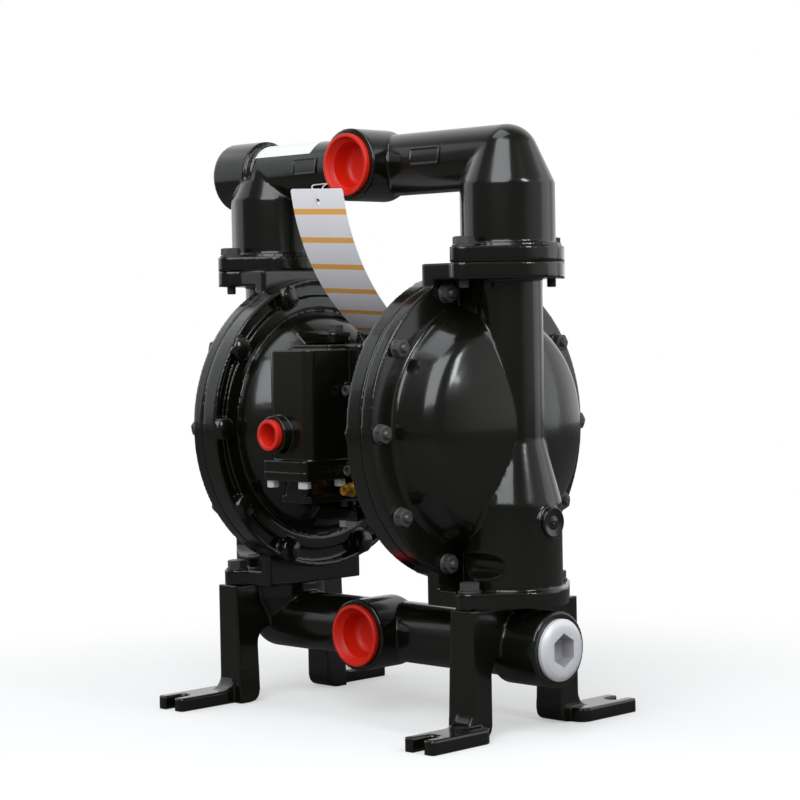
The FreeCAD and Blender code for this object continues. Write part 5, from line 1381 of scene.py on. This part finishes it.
@dataclass
class HangTag:
    """Card that hangs from the outlet cap's rim, curls back under the pipe, and its string."""

    shop: Workshop
    depth: float = 0.4 * MM
    # Three points of the card's curve, along Y and Z
    top: Pair = (-72.5 * MM, 500.5 * MM)
    bend: Pair = (-48.0 * MM, 429.5 * MM)
    end: Pair = (18.5 * MM, 361.5 * MM)
    corner: float = 2.2 * MM
    # Fall of the card for each unit along X
    lean: float = 0.045
    columns: int = 48
    rows: int = 110
    eye: float = 487.0 * MM
    eye_radius: float = 2.6 * MM
    eye_steps: int = 32
    pin: float = 30 * MM
    string: float = 0.55 * MM
    string_sides: int = 3
    # Points of the string in millimetres: off the cap's rim in the pump's frame, then through the eye,
    # counted from the eye and the card's top edge, and back to the rim
    from_rim: tuple = ((-25.6, -48.3, 505.0), (-27.4, -54.5, 504.2), (-24.5, -73.7, 502.4))
    through_eye: tuple = ((-1.0, -1.6, 9.0), (0.0, -1.4, 0.0), (0.0, 5.0, -1.0), (-2.0, 7.0, 8.0))
    to_rim: tuple[float, float, float] = (-27.0, -54.5, 503.0)

    def arc(self) -> tuple[Vector, float, float, float]:
        """Work out the card's arc.

        Returns:
            Centre in (y, z), radius, and the angles of its top and its end.
        """
        a, b, c = (Vector(point) for point in (self.top, self.bend, self.end))
        area = 2 * (a.x * (b.y - c.y) + b.x * (c.y - a.y) + c.x * (a.y - b.y))
        p, q, r = (point.length_squared / area for point in (a, b, c))
        x = p * (b.y - c.y) + q * (c.y - a.y) + r * (a.y - b.y)
        y = p * (c.x - b.x) + q * (a.x - c.x) + r * (b.x - a.x)
        start = math.atan2(a.y - y, a.x - x)
        stop = math.atan2(c.y - y, c.x - x)
        if stop - start > math.pi:
            stop -= math.tau
        if start - stop > math.pi:
            stop += math.tau
        centre = Vector((x, y))
        return centre, (a - centre).length, start, stop

    def card(self) -> Mesh:
        """Make the card with its UV map in metres, whose back lies one metre under its front."""
        low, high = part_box("hang_tag")
        centre, radius, start, stop = self.arc()
        length = abs(stop - start) * radius
        width = high[0] - low[0]
        work = bmesh.new()
        uv = work.loops.layers.uv.new("card")
        where = {}
        sheets = []
        for reach in (radius, radius + self.depth):
            grid = []
            for j in range(self.rows + 1):
                v = j / self.rows
                trim = drawn_in(self.corner, min(v, 1 - v) * length)
                angle = start + (stop - start) * v
                line = []
                for i in range(self.columns + 1):
                    across = trim + (width - 2 * trim) * i / self.columns
                    z = centre.y + reach * math.sin(angle) - self.lean * across
                    vert = work.verts.new((low[0] + across, centre.x + reach * math.cos(angle), z))
                    where[vert] = Vector((across, v * length))
                    line.append(vert)
                grid.append(line)
            sheets.append([list(column) for column in zip(*grid)])
        back, front, edge = closed_sheet(work, *sheets)
        below = Vector((0.0, -1.0))
        for faces, shift in ((back, below), (front, Vector((0.0, 0.0)))):
            for face in faces:
                for loop in face.loops:
                    loop[uv].uv = where[loop.vert] + shift
        for face in edge:
            for loop in face.loops:
                loop[uv].uv = below
        return to_mesh("banded_card", work)

    def punched(self, mesh: Mesh) -> Mesh:
        """Punch the eye through the card.

        Args:
            mesh: the whole card.

        Returns:
            The card with its eye.
        """
        radius, pin = self.eye_radius, self.pin
        at = Vector((middle_of("hang_tag").x, self.top[0] + pin / 2, self.eye))
        turning = Turning(self.eye_steps).round(0, 0).round(radius, 0).round(radius, pin).round(0, pin)
        tool = placed("eye", turning.mesh("eye", Facing.FRONT.matrix(at)))
        card = placed("card", mesh)
        punch = card.modifiers.new("Eye", "BOOLEAN")
        punch.object = tool
        punch.operation = "DIFFERENCE"
        punch.solver = "EXACT"
        result = evaluated(card)
        for item in (tool, card):
            bpy.data.objects.remove(item)
        return result

    def tie(self) -> Mesh:
        """Make the string: from the cap's rim, over the card's top edge and through its eye."""
        eye = Vector((middle_of("hang_tag").x, self.top[0], self.eye))
        route = [Vector(point) * MM for point in self.from_rim]
        route += [eye + Vector(point) * MM for point in self.through_eye]
        route.append(Vector(self.to_rim) * MM)
        curve = bpy.data.curves.new("tie", "CURVE")
        curve.dimensions = "3D"
        curve.bevel_depth = self.string
        curve.bevel_resolution = self.string_sides
        spline = curve.splines.new("NURBS")
        spline.points.add(len(route) - 1)
        for point, place in zip(spline.points, route):
            point.co = (*place, 1.0)
        spline.order_u = 3
        spline.use_cyclic_u = True
        holder = placed("tie", curve)
        mesh = evaluated(holder)
        bpy.data.objects.remove(holder)
        return mesh

    def build(self) -> None:
        """Make the card and its string."""
        self.shop.seat("banded_card", self.punched(self.card()), Coat.CARD, ("hang_tag",))
        self.shop.seat("card_string", self.tie(), Coat.STRING, ("tag_tie",))


# Diaphragms


@dataclass
class Diaphragms:
    """Moulded rubber diaphragms in sectors, each running from the bore round the shaft out to the bead at
    its rim.
    """

    shop: Workshop
    sectors: int = 8
    steps: int = 9
    bore: float = 8.2 * MM
    rim: float = 122.0 * MM
    face: float = 106.6 * MM
    depth: float = 3.5 * MM
    # Radii where the fold starts and ends, and where the rubber starts and stops to give way
    fold: Pair = (61.0 * MM, 103.0 * MM)
    fold_radius: float = 30.0 * MM
    fold_steps: int = 10
    moving: Pair = (61.0 * MM, 95.0 * MM)

    def out(self, turn: float) -> Vector:
        """Direction out from the shaft, after a number of sectors."""
        angle = math.tau * turn / self.sectors
        return Vector((0, math.cos(angle), math.sin(angle)))

    def section(self) -> list[Pair]:
        """Work out the closed section: outer face from the bore to the rim, then the inner face back.

        Returns:
            Radius and place along the shaft of each point.
        """
        start, end = self.fold
        half = (end - start) / 2
        base = math.sqrt(self.fold_radius**2 - half**2)
        outer = [(self.bore, self.face)]
        for k in range(self.fold_steps + 1):
            off = half * (2 * k / self.fold_steps - 1)
            rise = math.sqrt(self.fold_radius**2 - off**2) - base
            outer.append((start + half + off, self.face + rise))
        outer.append((self.rim, self.face))
        return outer + [(radius, along - self.depth) for radius, along in reversed(outer)]

    def sector(self, name: str, side: int, number: int) -> Mesh:
        """Make one sector as a closed wedge.

        Args:
            name: name of the mesh.
            side: 1 for the right chamber, -1 for the left.
            number: which sector it is.

        Returns:
            The sector's mesh.
        """
        work = bmesh.new()
        middle = middle_of("diaphragm_shaft")
        slices = []
        for k in range(self.steps):
            out = self.out(number + k / (self.steps - 1) - 0.5)
            places = [
                middle + radius * out + Vector((side * along, 0, 0)) for radius, along in self.section()
            ]
            slices.append([work.verts.new(place) for place in places])
        for one, other in zip(slices, slices[1:]):
            for k, vert in enumerate(one):
                after = (k + 1) % len(one)
                work.faces.new((vert, one[after], other[after], other[k]))
        for end in (slices[0], slices[-1]):
            for k in range(len(end) // 2 - 1):
                work.faces.new((end[k], end[k + 1], end[-k - 2], end[-k - 1]))
        return to_mesh(name, work)

    def build(self) -> None:
        """Make every sector, on no body, with its placement baked into its mesh."""
        for side, word in ((1, "right"), (-1, "left")):
            for number in range(self.sectors):
                name = f"diaphragm_{word}_{number + 1}"
                mesh = self.sector(name, side, number)
                piece = self.shop.seat(name, mesh, Coat.RUBBER, ("diaphragms",), body=None)
                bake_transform(piece)


# Parts that keep their solids


@dataclass
class HiddenWorks:
    """Seats, balls, shaft, valve and seals: solids that keep their meshes and get their real finish."""

    shop: Workshop
    rubber: tuple[str, ...] = (
        *("valve_gasket", "outlet_seat_rings", "inlet_seat_rings", "shaft_seals", "spool_cups"),
        *(f"{port}_ball_{side}" for port in ("outlet", "inlet") for side in ("right", "left")),
    )
    acetal: tuple[str, ...] = (
        *("outlet_seats", "inlet_seats", "shaft_bushings", "pilot_bushings"),
        *("valve_insert", "valve_plate"),
    )
    steel: tuple[str, ...] = (
        *("diaphragm_shaft", "inner_plates", "outer_plates", "plate_bolts", "pilot_rod", "spool"),
    )

    def build(self) -> None:
        """Dress every inner node."""
        coats = {Coat.RUBBER: self.rubber, Coat.ACETAL: self.acetal, Coat.GROUND_STEEL: self.steel}
        for coat, names in coats.items():
            for name in names:
                self.shop.dress(name, coat)


# Stage


@dataclass(frozen=True)
class Softbox:
    """Lamp that faces the pump, with its azimuth in degrees from +X towards +Y and its power in watts."""

    name: str
    azimuth: float
    height: float
    distance: float
    size: Pair
    power: float


@dataclass
class Stage:
    """White studio: floor, soft lamps, world and the camera of the photograph."""

    target: Vector = field(default_factory=lambda: Vector((0, 0, 0.28)))
    camera_at: tuple[float, float, float] = (1.5054, -1.5004, 0.3797)
    yaw: float = math.radians(44.797)
    pitch: float = math.radians(-2.199)
    roll: float = math.radians(-1.05)
    focal_pixels: float = 2223.3
    frame_pixels: float = 800.0
    sensor: float = 36.0
    sight: float = 50.0
    daylight: tuple[float, float, float] = (0.92, 0.97, 1.0)
    lamps: tuple[Softbox, ...] = (
        Softbox("key_softbox", -62, 1.5, 1.42, (1.25, 1.5), 22),
        Softbox("edge_strip", -2, 1.34, 1.7, (0.3, 0.8), 9),
        Softbox("top_softbox", -100, 2.1, 0.4, (1.0, 1.0), 6),
        Softbox("left_softbox", -160, 1.1, 2.0, (1.8, 1.8), 7),
        Softbox("right_softbox", 55, 0.9, 2.0, (1.2, 1.6), 4),
    )
    # Reflected studio: a wall behind the pump and a grey one at its side, each with the share of a
    # direction that it starts and ends at, and how bright it is there
    wall_rise: float = 0.25
    wall_span: Pair = (0.3, 0.85)
    wall_light: Pair = (0.12, 0.85)
    side_way: tuple[float, float, float] = (0.71, 0.70, 0.0)
    side_span: Pair = (0.4, 1.0)
    side_light: Pair = (0.0, 0.5)
    # Even fill that fades from the horizon to the ceiling
    fill_span: Pair = (0.0, 0.9)
    fill_light: Pair = (1.04, 0.3)
    # Floor: its board as light from it and as seen, and how its shadow fades out with distance
    floor_size: float = 12.0
    floor_drop: float = 0.2 * MM
    board: tuple[str, str] = ("#666665", "#f6f6f6")
    shadow_span: Pair = (0.3, 0.75)
    shadow_share: Pair = (0.6, 0.0)

    def camera(self) -> None:
        """Stand the camera where the photograph was taken from."""
        data = bpy.data.cameras.new("camera")
        data.sensor_width = self.sensor
        data.lens = self.focal_pixels / self.frame_pixels * data.sensor_width
        data.clip_end = self.sight
        level = math.cos(self.pitch)
        ahead = Vector((-math.sin(self.yaw) * level, math.cos(self.yaw) * level, math.sin(self.pitch)))
        right = Vector((math.cos(self.yaw), math.sin(self.yaw), 0))
        up = right.cross(ahead)
        across = right * math.cos(self.roll) + up * math.sin(self.roll)
        above = up * math.cos(self.roll) - right * math.sin(self.roll)
        turn = Matrix((across, above, -ahead)).transposed().to_4x4()
        camera = placed("camera", data)
        camera.matrix_world = Matrix.Translation(self.camera_at) @ turn
        bpy.context.scene.camera = camera

    def lamp(self, box: Softbox) -> None:
        """Hang a softbox so that it faces the pump."""
        data = bpy.data.lights.new(box.name, "AREA")
        data.shape = "RECTANGLE"
        data.size, data.size_y = box.size
        data.energy = box.power
        data.color = self.daylight
        angle = math.radians(box.azimuth)
        place = Vector((box.distance * math.cos(angle), box.distance * math.sin(angle), box.height))
        aim = (self.target - place).to_track_quat("-Z", "Y").to_matrix().to_4x4()
        placed(box.name, data).matrix_world = Matrix.Translation(place) @ aim

    def world(self) -> None:
        """White background, a dark studio behind the camera in the reflections, and even fill."""
        world = bpy.data.worlds.new("studio")
        bpy.context.scene.world = world
        tree = blank(world)
        ray = add(tree, "ShaderNodeLightPath").outputs
        way = add(tree, "ShaderNodeTexCoord").outputs["Generated"]
        back = Vector((-math.sin(self.yaw), math.cos(self.yaw), self.wall_rise)).normalized()
        walls = []
        for aim, span, light in (
            (tuple(back), self.wall_span, self.wall_light),
            (self.side_way, self.side_span, self.side_light),
        ):
            facing = add(tree, "ShaderNodeVectorMath", {0: way, 1: aim}, operation="DOT_PRODUCT")
            walls.append(ramp(tree, facing.outputs["Value"], span, light, "SMOOTHSTEP"))
        rise = add(tree, "ShaderNodeSeparateXYZ", {0: way}).outputs["Z"]
        fill = glow(tree, WHITE, ramp(tree, rise, self.fill_span, self.fill_light))
        mirror = glow(tree, maths(tree, "MAXIMUM", *walls))
        glossy = either(tree, ray["Is Glossy Ray"], fill, mirror)
        seen = either(tree, ray["Is Camera Ray"], glossy, glow(tree, WHITE))
        add(tree, "ShaderNodeOutputWorld", {"Surface": seen})

    def floor(self) -> None:
        """Floor that is pale in view and keeps the pump's shadow, but throws little light back at it."""
        half, down = self.floor_size / 2, -self.floor_drop
        mesh = bpy.data.meshes.new("floor")
        corners = [(-half, -half, down), (half, -half, down), (half, half, down), (-half, half, down)]
        mesh.from_pydata(corners, [], [(0, 1, 2, 3)])
        material = bpy.data.materials.new("matt_white_floor_board")
        tree = blank(material)
        place = add(tree, "ShaderNodeTexCoord").outputs["Object"]
        away = add(tree, "ShaderNodeVectorMath", {0: place}, operation="LENGTH").outputs["Value"]
        near = ramp(tree, away, self.shadow_span, self.shadow_share, "SMOOTHSTEP")
        in_view = add(tree, "ShaderNodeLightPath").outputs["Is Camera Ray"]
        share = maths(tree, "MAXIMUM", near, maths(tree, "SUBTRACT", 1.0, in_view))
        board = mixed(tree, in_view, *(linear(code) for code in self.board))
        matt = add(tree, "ShaderNodeBsdfDiffuse", {"Color": board}).outputs[0]
        light = add(tree, "ShaderNodeEmission", {"Color": WHITE, "Strength": 1.0}).outputs[0]
        add(tree, "ShaderNodeOutputMaterial", {"Surface": either(tree, share, light, matt)})
        mesh.materials.append(material)
        placed("floor", mesh)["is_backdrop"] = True

    def build(self) -> None:
        """Set the whole stage."""
        self.camera()
        self.world()
        self.floor()
        for box in self.lamps:
            self.lamp(box)
        bpy.context.scene.view_settings.view_transform = "Standard"


def main() -> None:
    """Build the stage and every group of pieces."""
    logging.basicConfig(level=logging.INFO, format="%(name)s: %(message)s")
    shop = Workshop()
    Stage().build()
    for group in (Castings, Fasteners, PortClosures, PipeTrim, HangTag, Diaphragms, HiddenWorks):
        group(shop).build()


if __name__ == "__main__":
    main()
